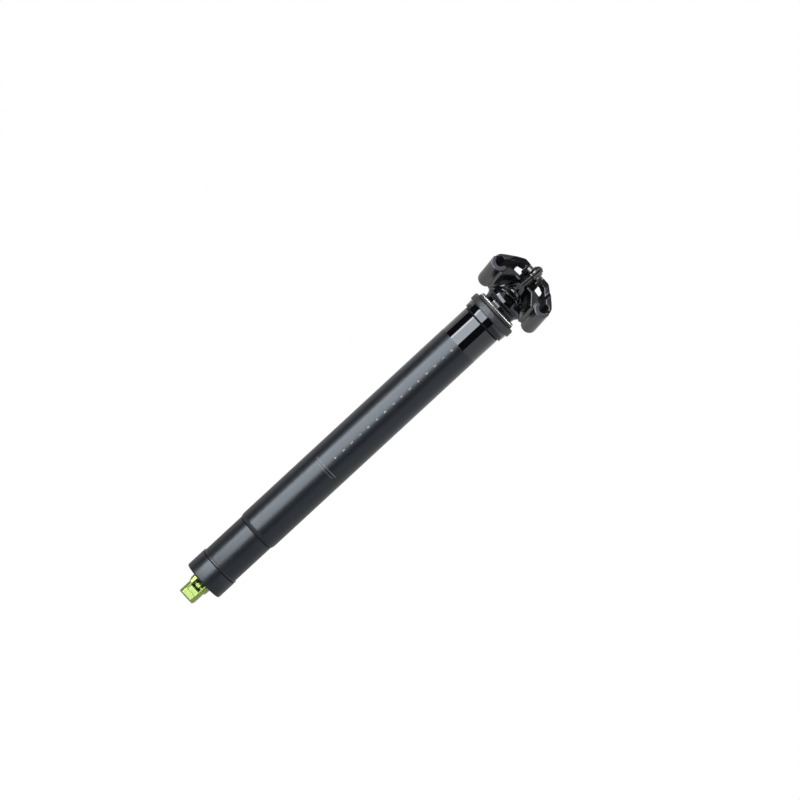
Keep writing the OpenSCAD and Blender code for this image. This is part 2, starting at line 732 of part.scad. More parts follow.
// Half outline of one rail trough
module trough_outline() {
    difference() {
        union() {
            translate([rail_y, -trough_drop])
                circle(r = trough_r);
            translate([rail_y - trough_r, -trough_drop])
                square([2 * trough_r, trough_drop + jaw_low]);
        }
        translate([rail_y, 0])
            circle(r = rail_r);
        translate([rail_y - 2 * trough_r, jaw_low])
            square(4 * trough_r);
    }
}

// The cradle holds the rails in two troughs and rocks on the head under its bridge
module rail_cradle() {
    deep = 2 * rocker_r;
    color([0.2, 0.2, 0.22])
        in_clamp()
            difference() {
                union() {
                    along_rail(-cradle_rear, cradle_front)
                        trough_outline();
                    along_rail(-cradle_rear, cradle_front)
                        mirror([1, 0])
                            trough_outline();
                    along_rail(-cradle_rear + 0.8, cradle_front - 2)
                        polygon(both_sides([[0, web_top], [leg_y - 3.2, web_top], [leg_y, jaw_low],
                            [leg_y, 0.7 - leg_low], [leg_y - 2, -leg_low], [leg_y - 4.8, 3 - leg_low],
                            [leg_y - 8.75, web_low], [0, web_low]]));
                    intersection() {
                        across(0, 0, rocker_r, rocker_y);
                        translate([-rocker_x, -deep, -deep])
                            cube([2 * rocker_x, 2 * deep, deep + web_top]);
                    }
                }
                // Ways for the two bolts and the front ear
                translate([-cradle_rear - 1, -bolt_way, -deep])
                    cube([cradle_rear + 1 - rocker_x - 0.5, 2 * bolt_way, 2 * deep]);
                translate([rocker_x, -ear_way, -deep])
                    cube([cradle_front, 2 * ear_way, 2 * deep]);
                // Rail channels
                for (side = [-1, 1])
                    translate([-cradle_rear - 1, side * rail_y, 0])
                        rotate([0, 90, 0])
                            cylinder(r = rail_r, h = cradle_rear + cradle_front + 2);
            }
}

// The upper clamp: an arch over both rails with a spine, two windows, and a notch for each bolt
module rail_clamp() {
    end_y = rail_y + trough_r - 0.15;
    slope = atan2(crown_v - shoulder_v, end_y - shoulder_r / 2 - 0.1 - crown_y);
    under_v = crown_v - arm_t / cos(slope) + 0.9;
    inner_y = rail_y - 0.4 * rail_r;
    foot_v = jaw_low + jaw_gap;
    tall = 2 * crown_v;
    color([0.16, 0.16, 0.18])
        in_clamp()
            difference() {
                union() {
                    along_rail(-cradle_rear, clamp_front)
                        polygon(both_sides(concat(
                            [[0, crown_v], [crown_y - 0.6, crown_v], [crown_y + 0.5, crown_v - 0.4]],
                            arc(end_y - shoulder_r, shoulder_v - 1.7, shoulder_r, 92 - slope, 0, 6),
                            [[end_y, foot_v], [inner_y, foot_v], [inner_y, rail_r + 0.1], [crown_y, under_v],
                                [spine_y - 1.25, crown_v - crown_t], [0, crown_v - crown_t]])));
                    // Lugs that carry the barrel nuts
                    for (u = [-rear_bolt_u, front_nut_u])
                        translate([u - lug_u, -lug_y, crown_v - lug_h])
                            cube([2 * lug_u, 2 * lug_y, lug_h - barrel_nut_r]);
                }
                // Rail channels
                for (side = [-1, 1])
                    translate([-cradle_rear - 1, side * rail_y, 0])
                        rotate([0, 90, 0])
                            cylinder(r = rail_r, h = cradle_rear + clamp_front + 2);
                // Front ends follow the cradle's length
                for (side = [-1, 1])
                    translate([cradle_front, side > 0 ? lug_y : -lug_y - end_y, -tall / 2])
                        cube([2 * lug_u, end_y, 2 * tall]);
                // Windows
                for (side = [-1, 1])
                    translate([0, 0, rail_r - 3])
                        linear_extrude(tall)
                            polygon(round_rect(-window_rear, window_front, side > 0 ? spine_y : -window_y,
                                side > 0 ? window_y : -spine_y, 2));
                nut_room(-rear_bolt_u, -1, 0);
                nut_room(front_nut_u, 1, front_lean - clamp_tilt);
            }
}

// Notch for a bolt, open to its end of the clamp, with the barrel nut's seat across it
module nut_room(u, way, lean) {
    seat = barrel_nut_r + 0.05;
    half = barrel_nut_len / 2 + 0.2;
    tall = 3 * crown_v;
    translate([u, 0, nut_v])
        rotate([0, lean, 0])
            cylinder(r = notch_r, h = tall, center = true);
    translate([way > 0 ? u : u - 3 * notch_r, -notch_r, nut_v - tall / 2])
        cube([3 * notch_r, 2 * notch_r, tall]);
    across(u, nut_v, seat, half);
    translate([u - seat, -half, nut_v])
        cube([2 * seat, 2 * half, crown_v]);
}

// A bolt with a ball-seated head; the hexagon socket opens downwards
module clamp_bolt(foot, lean) {
    r = bolt_head_d / 2;
    color([0.12, 0.12, 0.13])
        on_bolt(foot, lean)
            difference() {
                union() {
                    intersection() {
                        sphere(r = ball_r);
                        translate([0, 0, head_low])
                            cylinder(r = r, h = 10);
                    }
                    cylinder(r = shank_r, h = bolt_len - 1.2);
                    translate([0, 0, bolt_len - 1.2])
                        cylinder(r1 = shank_r, r2 = shank_r - 1.1, h = 1.2);
                }
                translate([0, 0, -5])
                    cylinder(r = ball_r + 1, h = 5 + head_low);
                translate([0, 0, -5])
                    cylinder(d = hex_af / cos(30), h = 5 + head_low + 3, $fn = 6);
            }
}

module rear_clamp_bolt() {
    clamp_bolt(rear_foot, clamp_tilt);
}

module front_clamp_bolt() {
    clamp_bolt(front_foot, front_lean);
}

// A barrel nut: a cross barrel that swivels in the clamp, with a threaded sleeve through it
module barrel_nut(centre, lean) {
    color([0.13, 0.13, 0.14])
        on_bolt(centre, lean)
            difference() {
                union() {
                    across(0, 0, barrel_nut_r, barrel_nut_len / 2);
                    turned([[0, -3.6], [sleeve_r - 0.3, -3.6], [sleeve_r, -3.3], [sleeve_r, -2.7], [sleeve_r - 0.25, -2.4],
                        [sleeve_r - 0.25, -0.2], [sleeve_r, 0.1], [sleeve_r, 3.6], [sleeve_r - 0.5, 4.2], [0, 4.2]]);
                }
                translate([0, 0, -10])
                    cylinder(r = nut_bore_r, h = 20);
            }
}

module rear_barrel_nut() {
    barrel_nut(rear_nut, clamp_tilt);
}

module front_barrel_nut() {
    barrel_nut(front_nut, front_lean);
}

outer_tube();
top_collar();
wiper_seal();
garter_spring();
foam_ring();
upper_bushing();
bottom_cap();
cartridge_rod();
cartridge_piston();
piston_ring();
actuator_body();
lever_pin();
actuator_lever();
cable_barrel();
cable_grub_screw();
valve_pin();
inner_tube();
lower_bushing();
guide_keys();
post_head();
cartridge_tube();
cartridge_cap();
rod_guide();
rod_seal();
floating_piston();
floating_piston_ring();
rail_cradle();
rail_clamp();
rear_clamp_bolt();
front_clamp_bolt();
rear_barrel_nut();
front_barrel_nut();
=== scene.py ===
"""The looks of a dropper seatpost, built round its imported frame, with lengths in millimetres."""

import functools
import json
import logging
from dataclasses import dataclass
from enum import Enum
from math import acos, copysign, cos, hypot, pi, radians, sin, sqrt, tan, tau
from typing import Callable, Iterable, Sequence

import bmesh
import bpy
from bmesh.types import BMEdge, BMesh, BMVert
from bpy.types import MeshPolygon, Node, NodeSocket, Object
from mathutils import Matrix, Vector


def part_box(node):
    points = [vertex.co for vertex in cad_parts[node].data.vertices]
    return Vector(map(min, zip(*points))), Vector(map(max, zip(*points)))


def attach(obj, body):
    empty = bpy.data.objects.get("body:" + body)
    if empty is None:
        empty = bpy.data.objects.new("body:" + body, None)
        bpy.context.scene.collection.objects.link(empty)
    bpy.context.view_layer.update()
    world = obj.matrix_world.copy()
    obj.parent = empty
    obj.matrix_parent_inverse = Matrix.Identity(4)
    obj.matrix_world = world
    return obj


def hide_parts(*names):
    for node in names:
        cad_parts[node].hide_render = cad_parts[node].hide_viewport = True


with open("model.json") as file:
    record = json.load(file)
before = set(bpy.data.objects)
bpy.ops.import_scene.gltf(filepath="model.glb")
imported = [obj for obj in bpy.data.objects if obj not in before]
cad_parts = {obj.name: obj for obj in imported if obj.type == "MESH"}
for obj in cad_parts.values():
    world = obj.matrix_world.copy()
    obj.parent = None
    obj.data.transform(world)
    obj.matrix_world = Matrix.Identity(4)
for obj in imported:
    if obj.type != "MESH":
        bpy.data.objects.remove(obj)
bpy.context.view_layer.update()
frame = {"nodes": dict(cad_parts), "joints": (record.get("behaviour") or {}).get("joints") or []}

LOG = logging.getLogger("seatpost")
MM = 0.001
FINE_STEPS = 160
COARSE_STEPS = 64
FILLET_STEPS = 4
THREAD_STEPS = 20
BALL_STEPS = 8
SMOOTH_ANGLE = radians(31)
# The share of an edge that the rounding of a corner may take.
MOST_CUT = 0.49
# Points nearer than this are one.
WELD, FINE_WELD = 1e-4, 1e-5
# Small steps that keep two faces apart.
SLIVER, NEAR = 0.02, 0.1
# Smoothing shrinks a form, and its opposite after it gives that back.
SMOOTHING, UNSHRINKING = 0.5, -0.507
CLOUDS_PER_M = 60
CLOUD_DETAIL = 3
GRAIN_DETAIL = 2
CLAMP_TILT_DEG = 22.0
FRONT_BOLT_LEAN_DEG = 8.0

Colour = tuple[float, float, float]
Outline = Sequence[tuple[float, ...]]


class Body(Enum):
    """The rigid bodies of the frame that built pieces ride on."""

    LOWER = "lower"
    UPPER = "upper"
    LEVER = "lever"
    CLAMP = "clamp"
    REAR_BOLT = "rear_bolt"
    FRONT_BOLT = "front_bolt"
    REAR_NUT = "rear_nut"
    FRONT_NUT = "front_nut"


@dataclass(frozen=True)
class Span:
    """The box of a CAD node."""

    low: Vector
    high: Vector

    @classmethod
    def of(cls, node: str) -> "Span":
        """Measures a CAD node."""
        low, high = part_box(node)
        return cls(low / MM, high / MM)

    @property
    def middle(self) -> Vector:
        """The middle of the box."""
        return (self.low + self.high) / 2

    @property
    def drum(self) -> tuple[float, float, float]:
        """Half the width across the bicycle, the foot's height and the head's height."""
        return (self.high.y - self.low.y) / 2, self.low.z, self.high.z


class Graph:
    """A short way to write a node tree."""

    def __init__(self, owner: bpy.types.ID, shader: str = "Principled BSDF") -> None:
        """Starts from the nodes that a new material or world has.

        Args:
            owner: The material or world.
            shader: The name of its shader's node.
        """
        owner.use_nodes = True
        self.owner = owner
        self.tree = owner.node_tree
        self.shader = self.tree.nodes[shader]

    @functools.cached_property
    def place(self) -> NodeSocket:
        """The object's own coordinates."""
        return self.node("ShaderNodeTexCoord").outputs["Object"]

    def feed(self, node: Node, values: dict[str | int, object]) -> None:
        """Feeds a node's inputs.

        Args:
            node: The node.
            values: For each input, a constant or the output to join to it.
        """
        for key, value in values.items():
            if isinstance(value, NodeSocket):
                self.tree.links.new(value, node.inputs[key])
            else:
                node.inputs[key].default_value = value

    def node(self, kind: str, values: dict[str | int, object] | None = None, **settings: object) -> Node:
        """Adds a node.

        Args:
            kind: Blender's name of the node type.
            values: For each input, a constant or the output to join to it.
            **settings: Properties of the node.

        Returns:
            The new node.
        """
        made = self.tree.nodes.new(kind)
        for key, value in settings.items():
            setattr(made, key, value)
        self.feed(made, values or {})
        return made

    def noise(self, scale: float, detail: float) -> NodeSocket:
        """Adds a noise pattern with so many features per metre and octaves of finer noise."""
        values = {"Scale": scale, "Detail": detail, "Vector": self.place}
        return self.node("ShaderNodeTexNoise", values).outputs["Fac"]

    def ramp(self, factor: NodeSocket, low: float, high: float) -> NodeSocket:
        """Maps a factor of 0 to 1 to the values from low to high."""
        values = {"Value": factor, "To Min": low, "To Max": high}
        return self.node("ShaderNodeMapRange", values).outputs["Result"]

    def blend(self, factor: NodeSocket, first: NodeSocket | tuple, second: tuple) -> NodeSocket:
        """Blends two colours, from the first at 0 to the second at 1."""
        return self.node("ShaderNodeMix", {0: factor, 6: first, 7: second}, data_type="RGBA").outputs[2]


@dataclass(frozen=True)
class Finish:
    """A surface with a fine grain, faint clouds of tone, and varied roughness."""

    name: str
    colour: Colour
    cloud_colour: Colour
    roughness: float
    roughness_spread: float = 0.04
    metallic: float = 0.0
    ior: float = 1.5
    grain_per_mm: float = 4.0
    grain_height_mm: float = 0.004
    grain_strength: float = 0.3
    tint: Colour = (1.0, 1.0, 1.0)

    @functools.cache
    def material(self) -> bpy.types.Material:
        """Makes the finish once and hands out the same material afterwards."""
        return self.graph().owner

    def graph(self) -> Graph:
        """Writes the finish's node tree.

        Returns:
            The tree with its material.
        """
        graph = Graph(bpy.data.materials.new(self.name))
        clouds = graph.noise(CLOUDS_PER_M, CLOUD_DETAIL)
        bump = graph.node("ShaderNodeBump", {
            "Strength": self.grain_strength, "Distance": self.grain_height_mm * MM,
            "Height": graph.noise(self.grain_per_mm / MM, GRAIN_DETAIL)})
        rough = graph.ramp(clouds, self.roughness - self.roughness_spread,
                           self.roughness + self.roughness_spread)
        graph.feed(graph.shader, {
            "Base Color": graph.blend(clouds, (*self.colour, 1), (*self.cloud_colour, 1)), "Roughness": rough,
            "Metallic": self.metallic, "IOR": self.ior, "Specular Tint": (*self.tint, 1),
            "Normal": bump.outputs["Normal"]})
        return graph


@dataclass(frozen=True)
class FacedFinish(Finish):
    """A finish with a painted sheen: a paler, bluer tone on the end that faces the camera and the softbox."""

    # The painted sheen's colour, put on beyond a plane along outwards.
    faced_colour: Colour = (0.085, 0.085, 0.11)
    outwards: tuple[float, float, float] = (-0.927, 0.0, 0.375)
    faced_from_mm: float = 31.75
    fade_mm: float = 0.1

    def graph(self) -> Graph:
        """Writes the finish's node tree, with the painted sheen mixed in at the end.

        Returns:
            The tree with its material.
        """
        graph = super().graph()
        reach = graph.node("ShaderNodeVectorMath", {0: graph.place, 1: self.outwards},
                           operation="DOT_PRODUCT")
        edge = graph.node("ShaderNodeMapRange", {
            "Value": reach.outputs["Value"], "From Min": self.faced_from_mm * MM,
            "From Max": (self.faced_from_mm + self.fade_mm) * MM})
        own_colour = graph.shader.inputs["Base Color"].links[0].from_socket
        with_sheen = graph.blend(edge.outputs["Result"], own_colour, (*self.faced_colour, 1))
        graph.feed(graph.shader, {"Base Color": with_sheen})
        return graph


BLASTED_BLACK = Finish("blasted_black", (0.004, 0.005, 0.007), (0.006, 0.007, 0.01), 0.33, ior=1.53,
                       tint=(0.82, 0.91, 1.0), grain_per_mm=7, grain_height_mm=0.01, grain_strength=0.5)
KNURLED_BLACK = Finish("knurled_black", (0.03, 0.031, 0.034), (0.034, 0.035, 0.038), 0.42,
                       tint=(0.86, 0.93, 1.0), grain_per_mm=7)
SATIN_BLACK = Finish("satin_black", (0.007, 0.007, 0.009), (0.009, 0.009, 0.011), 0.2,
                     tint=(0.9, 0.95, 1.0), grain_per_mm=7)
# Painted sheen: the cradle's rear end gets a paler, bluer tone.
SHEENED_CRADLE_BLACK = FacedFinish("cradle_black_painted_sheen", SATIN_BLACK.colour, SATIN_BLACK.cloud_colour, 0.2,
                           tint=SATIN_BLACK.tint, grain_per_mm=7)
# Painted shade: near black for rail channels, undersides, the rocker's gap and bolt sockets, where little
# light gets in.
PAINTED_SHADE_BLACK = Finish("painted_shade_black", (0.004, 0.004, 0.004), (0.006, 0.006, 0.006), 0.5, ior=1.2)
CAVITY = Finish("shadow_groove", (0.002, 0.002, 0.002), (0.003, 0.003, 0.003), 0.7, ior=1.2)
GLOSS_BLACK = Finish("polished_black", (0.003, 0.003, 0.004), (0.004, 0.004, 0.005), 0.04, 0.01, ior=1.6,
                     tint=(0.85, 0.92, 1.0), grain_per_mm=0.2, grain_height_mm=0.002, grain_strength=0.05)
RUBBER = Finish("wiper_rubber", (0.018, 0.018, 0.018), (0.026, 0.026, 0.026), 0.62, grain_per_mm=5,
                grain_height_mm=0.01)
LIGHT_SPRING = Finish("light_spring", (0.9, 0.9, 0.89), (0.95, 0.95, 0.94), 0.35, metallic=0.75,
                      grain_per_mm=6, grain_height_mm=0.002)
BLACK_STEEL = Finish("blackened_steel", (0.005, 0.005, 0.006), (0.007, 0.007, 0.008), 0.12, ior=1.85,
                     grain_per_mm=6, grain_height_mm=0.002)
BRIGHT_STEEL = Finish("turned_steel", (0.6, 0.61, 0.63), (0.68, 0.69, 0.7), 0.25, metallic=1.0,
                      grain_per_mm=6, grain_height_mm=0.003)
CHROMED_STEEL = Finish("chromed_steel", (0.75, 0.76, 0.78), (0.8, 0.81, 0.82), 0.08, 0.02, metallic=1.0)
BARE_ALUMINIUM = Finish("machined_aluminium", (0.66, 0.67, 0.69), (0.72, 0.73, 0.74), 0.33, metallic=1.0)
GREEN = Finish("green_anodising", (0.28, 0.385, 0.1), (0.31, 0.42, 0.11), 0.28, metallic=0.45,
               grain_per_mm=6, grain_height_mm=0.003)
BRASS = Finish("turned_brass", (0.66, 0.47, 0.2), (0.72, 0.53, 0.25), 0.28, metallic=1.0)
LINER = Finish("sliding_liner", (0.36, 0.31, 0.22), (0.42, 0.37, 0.27), 0.5)
PALE_RING = Finish("pale_ring", (0.7, 0.7, 0.66), (0.75, 0.75, 0.72), 0.45)
FOAM = Finish("greased_foam", (0.2, 0.18, 0.14), (0.26, 0.23, 0.18), 0.75, grain_per_mm=2,
              grain_height_mm=0.08)
INK = Finish("printed_ink", (0.62, 0.62, 0.6), (0.7, 0.7, 0.68), 0.5)
FAINT_INK = Finish("faint_ink", (0.16, 0.16, 0.165), (0.2, 0.2, 0.205), 0.5)


def unit(value: float) -> float:
    """Holds a value between 0 and 1."""
    return min(max(value, 0), 1)


def leaning(lean_deg: float) -> Vector:
    """The direction of an axis that leans from upright towards the front."""
    return Vector((sin(radians(lean_deg)), 0, cos(radians(lean_deg))))


def turned_to(back: Vector) -> Matrix:
    """The turn that points Z along a direction and keeps X level."""
    right = Vector((0, 0, 1)).cross(back).normalized()
    return Matrix((right, back.cross(right), back)).transposed().to_4x4()


def joint_place(name: str) -> Vector:
    """Finds where a hinge turns."""
    return Vector(next(item for item in frame["joints"] if item["name"] == name)["pos_m"]) / MM


def filleted(outline: Outline) -> list[Vector]:
    """Rounds the corners of an outline.

    Args:
        outline: Radius, height and, where there is one, rounding of each corner.

    Returns:
        The outline's points.
    """
    points = []
    corners = [Vector(corner[:2]) for corner in outline]
    for index, here in enumerate(corners):
        if len(outline[index]) < 3:
            points.append(here)
            continue
        back, ahead = corners[index - 1] - here, corners[(index + 1) % len(corners)] - here
        half = back.angle(ahead) / 2
        cut = min(outline[index][2] / tan(half), MOST_CUT * back.length, MOST_CUT * ahead.length)
        start, end = here + back.normalized() * cut, here + ahead.normalized() * cut
        for step in range(FILLET_STEPS + 1):
            t = step / FILLET_STEPS
            points.append(start * (1 - t) ** 2 + here * 2 * t * (1 - t) + end * t ** 2)
    return points


def spun(mesh: BMesh, steps: int) -> BMesh:
    """Spins an outline round the Z axis.

    Args:
        mesh: The outline, which is changed.
        steps: Facets round the axis.

    Returns:
        The same mesh, closed.
    """
    bmesh.ops.spin(mesh, geom=mesh.verts[:] + mesh.edges[:], cent=(0, 0, 0), axis=(0, 0, 1), angle=tau,
                   steps=steps, use_merge=True)
    bmesh.ops.remove_doubles(mesh, verts=mesh.verts[:], dist=FINE_WELD)
    bmesh.ops.recalc_face_normals(mesh, faces=mesh.faces[:])
    return mesh


def turned(outline: Outline, steps: int = FINE_STEPS) -> BMesh:
    """Turns an outline round the post axis.

    Args:
        outline: Its corners as in filleted; it closes on itself unless it starts on the axis and ends there.
        steps: Facets round the axis.

    Returns:
        A closed mesh.
    """
    mesh = bmesh.new()
    verts = [mesh.verts.new((point.x, 0, point.y)) for point in filleted(outline)]
    for pair in zip(verts, verts[1:]):
        mesh.edges.new(pair)
    if outline[0][0] or outline[-1][0]:
        mesh.edges.new((verts[-1], verts[0]))
    return spun(mesh, steps)


def moved(mesh: BMesh, matrix: Matrix) -> BMesh:
    """Moves a whole mesh and hands it on."""
    bmesh.ops.transform(mesh, matrix=matrix, verts=mesh.verts[:])
    return mesh


def saved(mesh: BMesh, name: str) -> bpy.types.Mesh:
    """Keeps a mesh under a name.

    Args:
        mesh: The mesh, which is freed.
        name: The name.

    Returns:
        Its data.
    """
    data = bpy.data.meshes.new(name)
    mesh.to_mesh(data)
    mesh.free()
    return data


def shown(name: str, data: bpy.types.ID) -> Object:
    """Puts a mesh, lamp or camera into the scene.

    Args:
        name: The object's name.
        data: What it shows.

    Returns:
        The object.
    """
    made = bpy.data.objects.new(name, data)
    bpy.context.scene.collection.objects.link(made)
    return made


def joined(parts: Iterable[BMesh]) -> BMesh:
    """Puts several meshes into one.

    Args:
        parts: The meshes, which are freed.

    Returns:
        One mesh.
    """
    whole = bmesh.new()
    for part in parts:
        passing = saved(part, "passing")
        whole.from_mesh(passing)
        bpy.data.meshes.remove(passing)
    return whole


def piece(name: str, mesh: BMesh, finish: Finish, body: Body, stands_for: str = "") -> Object:
    """Makes a mesh a finished piece that rides on a body.

    Args:
        name: The piece's name.
        mesh: Its mesh, which is freed.
        finish: Its finish.
        body: The body it rides on.
        stands_for: The CAD node it replaces, if any.

    Returns:
        The piece.
    """
    data = saved(moved(mesh, Matrix.Scale(MM, 4)), name)
    data.shade_smooth()
    data.set_sharp_from_angle(angle=SMOOTH_ANGLE)
    data.materials.append(finish.material())
    made = shown(name, data)
    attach(made, body.value)
    if stands_for:
        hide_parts(stands_for)
    LOG.info("%s: %d faces on %s", name, len(data.polygons), body.value)
    return made


def softened(node: str, voxel: float, passes: int, square_to: Matrix = Matrix(),
             shape: Callable[[Vector], None] | None = None, melted: Callable[[Vector], bool] | None = None,
             melting_passes: int = 0) -> BMesh:
    """Copies a CAD node and rounds its edges as machining and blasting do.

    Args:
        node: The node's name.
        voxel: The size of the new facets.
        passes: Rounds of smoothing, each of which softens the edges a little more.
        square_to: The frame whose axes the facets line up with.
        shape: Moves each vertex, given in that frame, before the smoothing.
        melted: Tells which vertices, given in that frame, are smoothed further.
        melting_passes: Rounds of that further smoothing, each of which gives back what it shrinks.

    Returns:
        A closed mesh.
    """
    mesh = bmesh.new()
    mesh.from_mesh(frame["nodes"][node].data)
    bmesh.ops.remove_doubles(mesh, verts=mesh.verts[:], dist=WELD * MM)
    moved(moved(mesh, Matrix.Scale(1 / MM, 4)), square_to.inverted())
    data = saved(mesh, "softening")
    helper = shown("softening", data)
    remesh = helper.modifiers.new("voxels", "REMESH")
    remesh.mode = "VOXEL"
    remesh.voxel_size = voxel
    evaluated = helper.evaluated_get(bpy.context.evaluated_depsgraph_get())
    mesh = bmesh.new()
    mesh.from_mesh(evaluated.to_mesh())
    evaluated.to_mesh_clear()
    bpy.data.objects.remove(helper)
    bpy.data.meshes.remove(data)
    if shape:
        for vert in mesh.verts:
            shape(vert.co)
    soft = [vert for vert in mesh.verts if melted and melted(vert.co)]
    melting, rounding = [SMOOTHING, UNSHRINKING] * melting_passes, [SMOOTHING] * passes
    for verts, factors in ((soft, melting), (mesh.verts[:], rounding)):
        for factor in factors:
            bmesh.ops.smooth_vert(mesh, verts=verts, factor=factor, use_axis_x=True, use_axis_y=True,
                                  use_axis_z=True)
    return moved(mesh, square_to)


def refinish(made: Object, finish: Finish, chosen: Callable[[MeshPolygon], bool]) -> None:
    """Gives some faces of a piece another finish.

    Args:
        made: The piece.
        finish: The other finish.
        chosen: Tells which faces get it.
    """
    made.data.materials.append(finish.material())
    for face in made.data.polygons:
        if chosen(face):
            face.material_index = len(made.data.materials) - 1


def shade_groove(shell: Object, low: float, high: float, radius: float) -> None:
    """Darkens the walls of a groove, where light hardly gets in.

    Args:
        shell: A turned piece.
        low: The groove's foot.
        high: The groove's head.
        radius: Walls inside this radius are darkened.
    """
    most_inwards = -0.5

    def in_groove(face: MeshPolygon) -> bool:
        """Tells whether a face is a wall of the groove and not of the shell's bore.

        Args:
            face: A face of the shell.

        Returns:
            Whether it gets darker.
        """
        reach = face.center.xy.length
        outwards = face.normal.xy.dot(face.center.xy) > most_inwards * reach
        return low * MM < face.center.z < high * MM and reach < radius * MM and outwards

    refinish(shell, CAVITY, in_groove)


def thread(root: float, crest: float, pitch: float, low: float, high: float) -> BMesh:
    """Winds a screw thread's ridge round the Z axis.

    Args:
        root: Radius at the ridge's foot, a little inside the shank.
        crest: Radius at its top.
        pitch: Rise of each turn.
        low: Where the ridge starts.
        high: Where it ends.

    Returns:
        A closed mesh.
    """
    turns = (high - low) / pitch - 1
    steps = round(turns * THREAD_STEPS)
    mesh = bmesh.new()
    foot, shoulder = 0.08, 0.42
    outline = ((root, foot), (crest, shoulder), (crest, 1 - shoulder), (root, 1 - foot))
    verts = [mesh.verts.new((r, 0, low + part * pitch)) for r, part in outline]
    edges = [mesh.edges.new((verts[i - 1], verts[i])) for i in range(len(verts))]
    mesh.faces.new(verts)
    swept = bmesh.ops.spin(mesh, geom=[*verts, *edges], cent=(0, 0, 0), axis=(0, 0, 1),
                           dvec=(0, 0, pitch * turns / steps), angle=tau * turns, steps=steps)
    last = [item for item in swept["geom_last"] if isinstance(item, BMEdge)]
    bmesh.ops.edgeloop_fill(mesh, edges=last)
    bmesh.ops.recalc_face_normals(mesh, faces=mesh.faces[:])
    return mesh


def wrapped(mesh: BMesh, radius: float) -> BMesh:
    """Wraps a flat drawing round the back of the post.

    Args:
        mesh: A drawing with X to the right as seen from behind, Y up the post and Z outwards.
        radius: The radius it lies on.

    Returns:
        The same mesh.
    """
    for vert in mesh.verts:
        turn = vert.co.x / radius
        r = radius + vert.co.z
        vert.co = Vector((-r * cos(turn), -r * sin(turn), vert.co.y))
    return mesh


def panel(width: float, height: float, cells: int = 1) -> BMesh:
    """Lays a flat panel.

    Args:
        width: Its width.
        height: Its height.
        cells: Its columns.

    Returns:
        An open mesh.
    """
    mesh = bmesh.new()
    bmesh.ops.create_grid(mesh, x_segments=cells, y_segments=1, size=0.5)
    bmesh.ops.scale(mesh, vec=(width, height, 1), verts=mesh.verts[:])
    return mesh


def tile(x: float, y: float, mesh: BMesh, proud: float) -> BMesh:
    """Gives a panel its place in a print, and some thickness.

    Args:
        x: Its middle to the right.
        y: Its middle upwards.
        mesh: The panel, which is changed.
        proud: How far it stands out; it reaches as far inwards.

    Returns:
        The same mesh, closed.
    """
    moved(mesh, Matrix.Translation((x, y, proud)))
    bmesh.ops.solidify(mesh, geom=mesh.faces[:], thickness=2 * proud)
    return mesh


def digit(value: int, height: float, y: float, proud: float) -> BMesh:
    """Draws a printed figure.

    Args:
        value: A figure from 0 to 9.
        height: Its height.
        y: Its middle upwards.
        proud: How far it stands out; it reaches as far inwards.

    Returns:
        A closed mesh.
    """
    em_share, bold_share = 1.35, 0.03
    curve = bpy.data.curves.new("figure", "FONT")
    curve.body = str(value)
    curve.align_x = "CENTER"
    curve.align_y = "CENTER"
    curve.size = height * em_share
    curve.offset = height * bold_share
    curve.extrude = proud
    curve.resolution_u = 3
    helper = bpy.data.objects.new("figure", curve)
    mesh = bmesh.new()
    mesh.from_mesh(helper.to_mesh())
    helper.to_mesh_clear()
    bpy.data.objects.remove(helper)
    bpy.data.curves.remove(curve)
    bmesh.ops.remove_doubles(mesh, verts=mesh.verts[:], dist=WELD)
    return moved(mesh, Matrix.Translation((0, y, 0)))


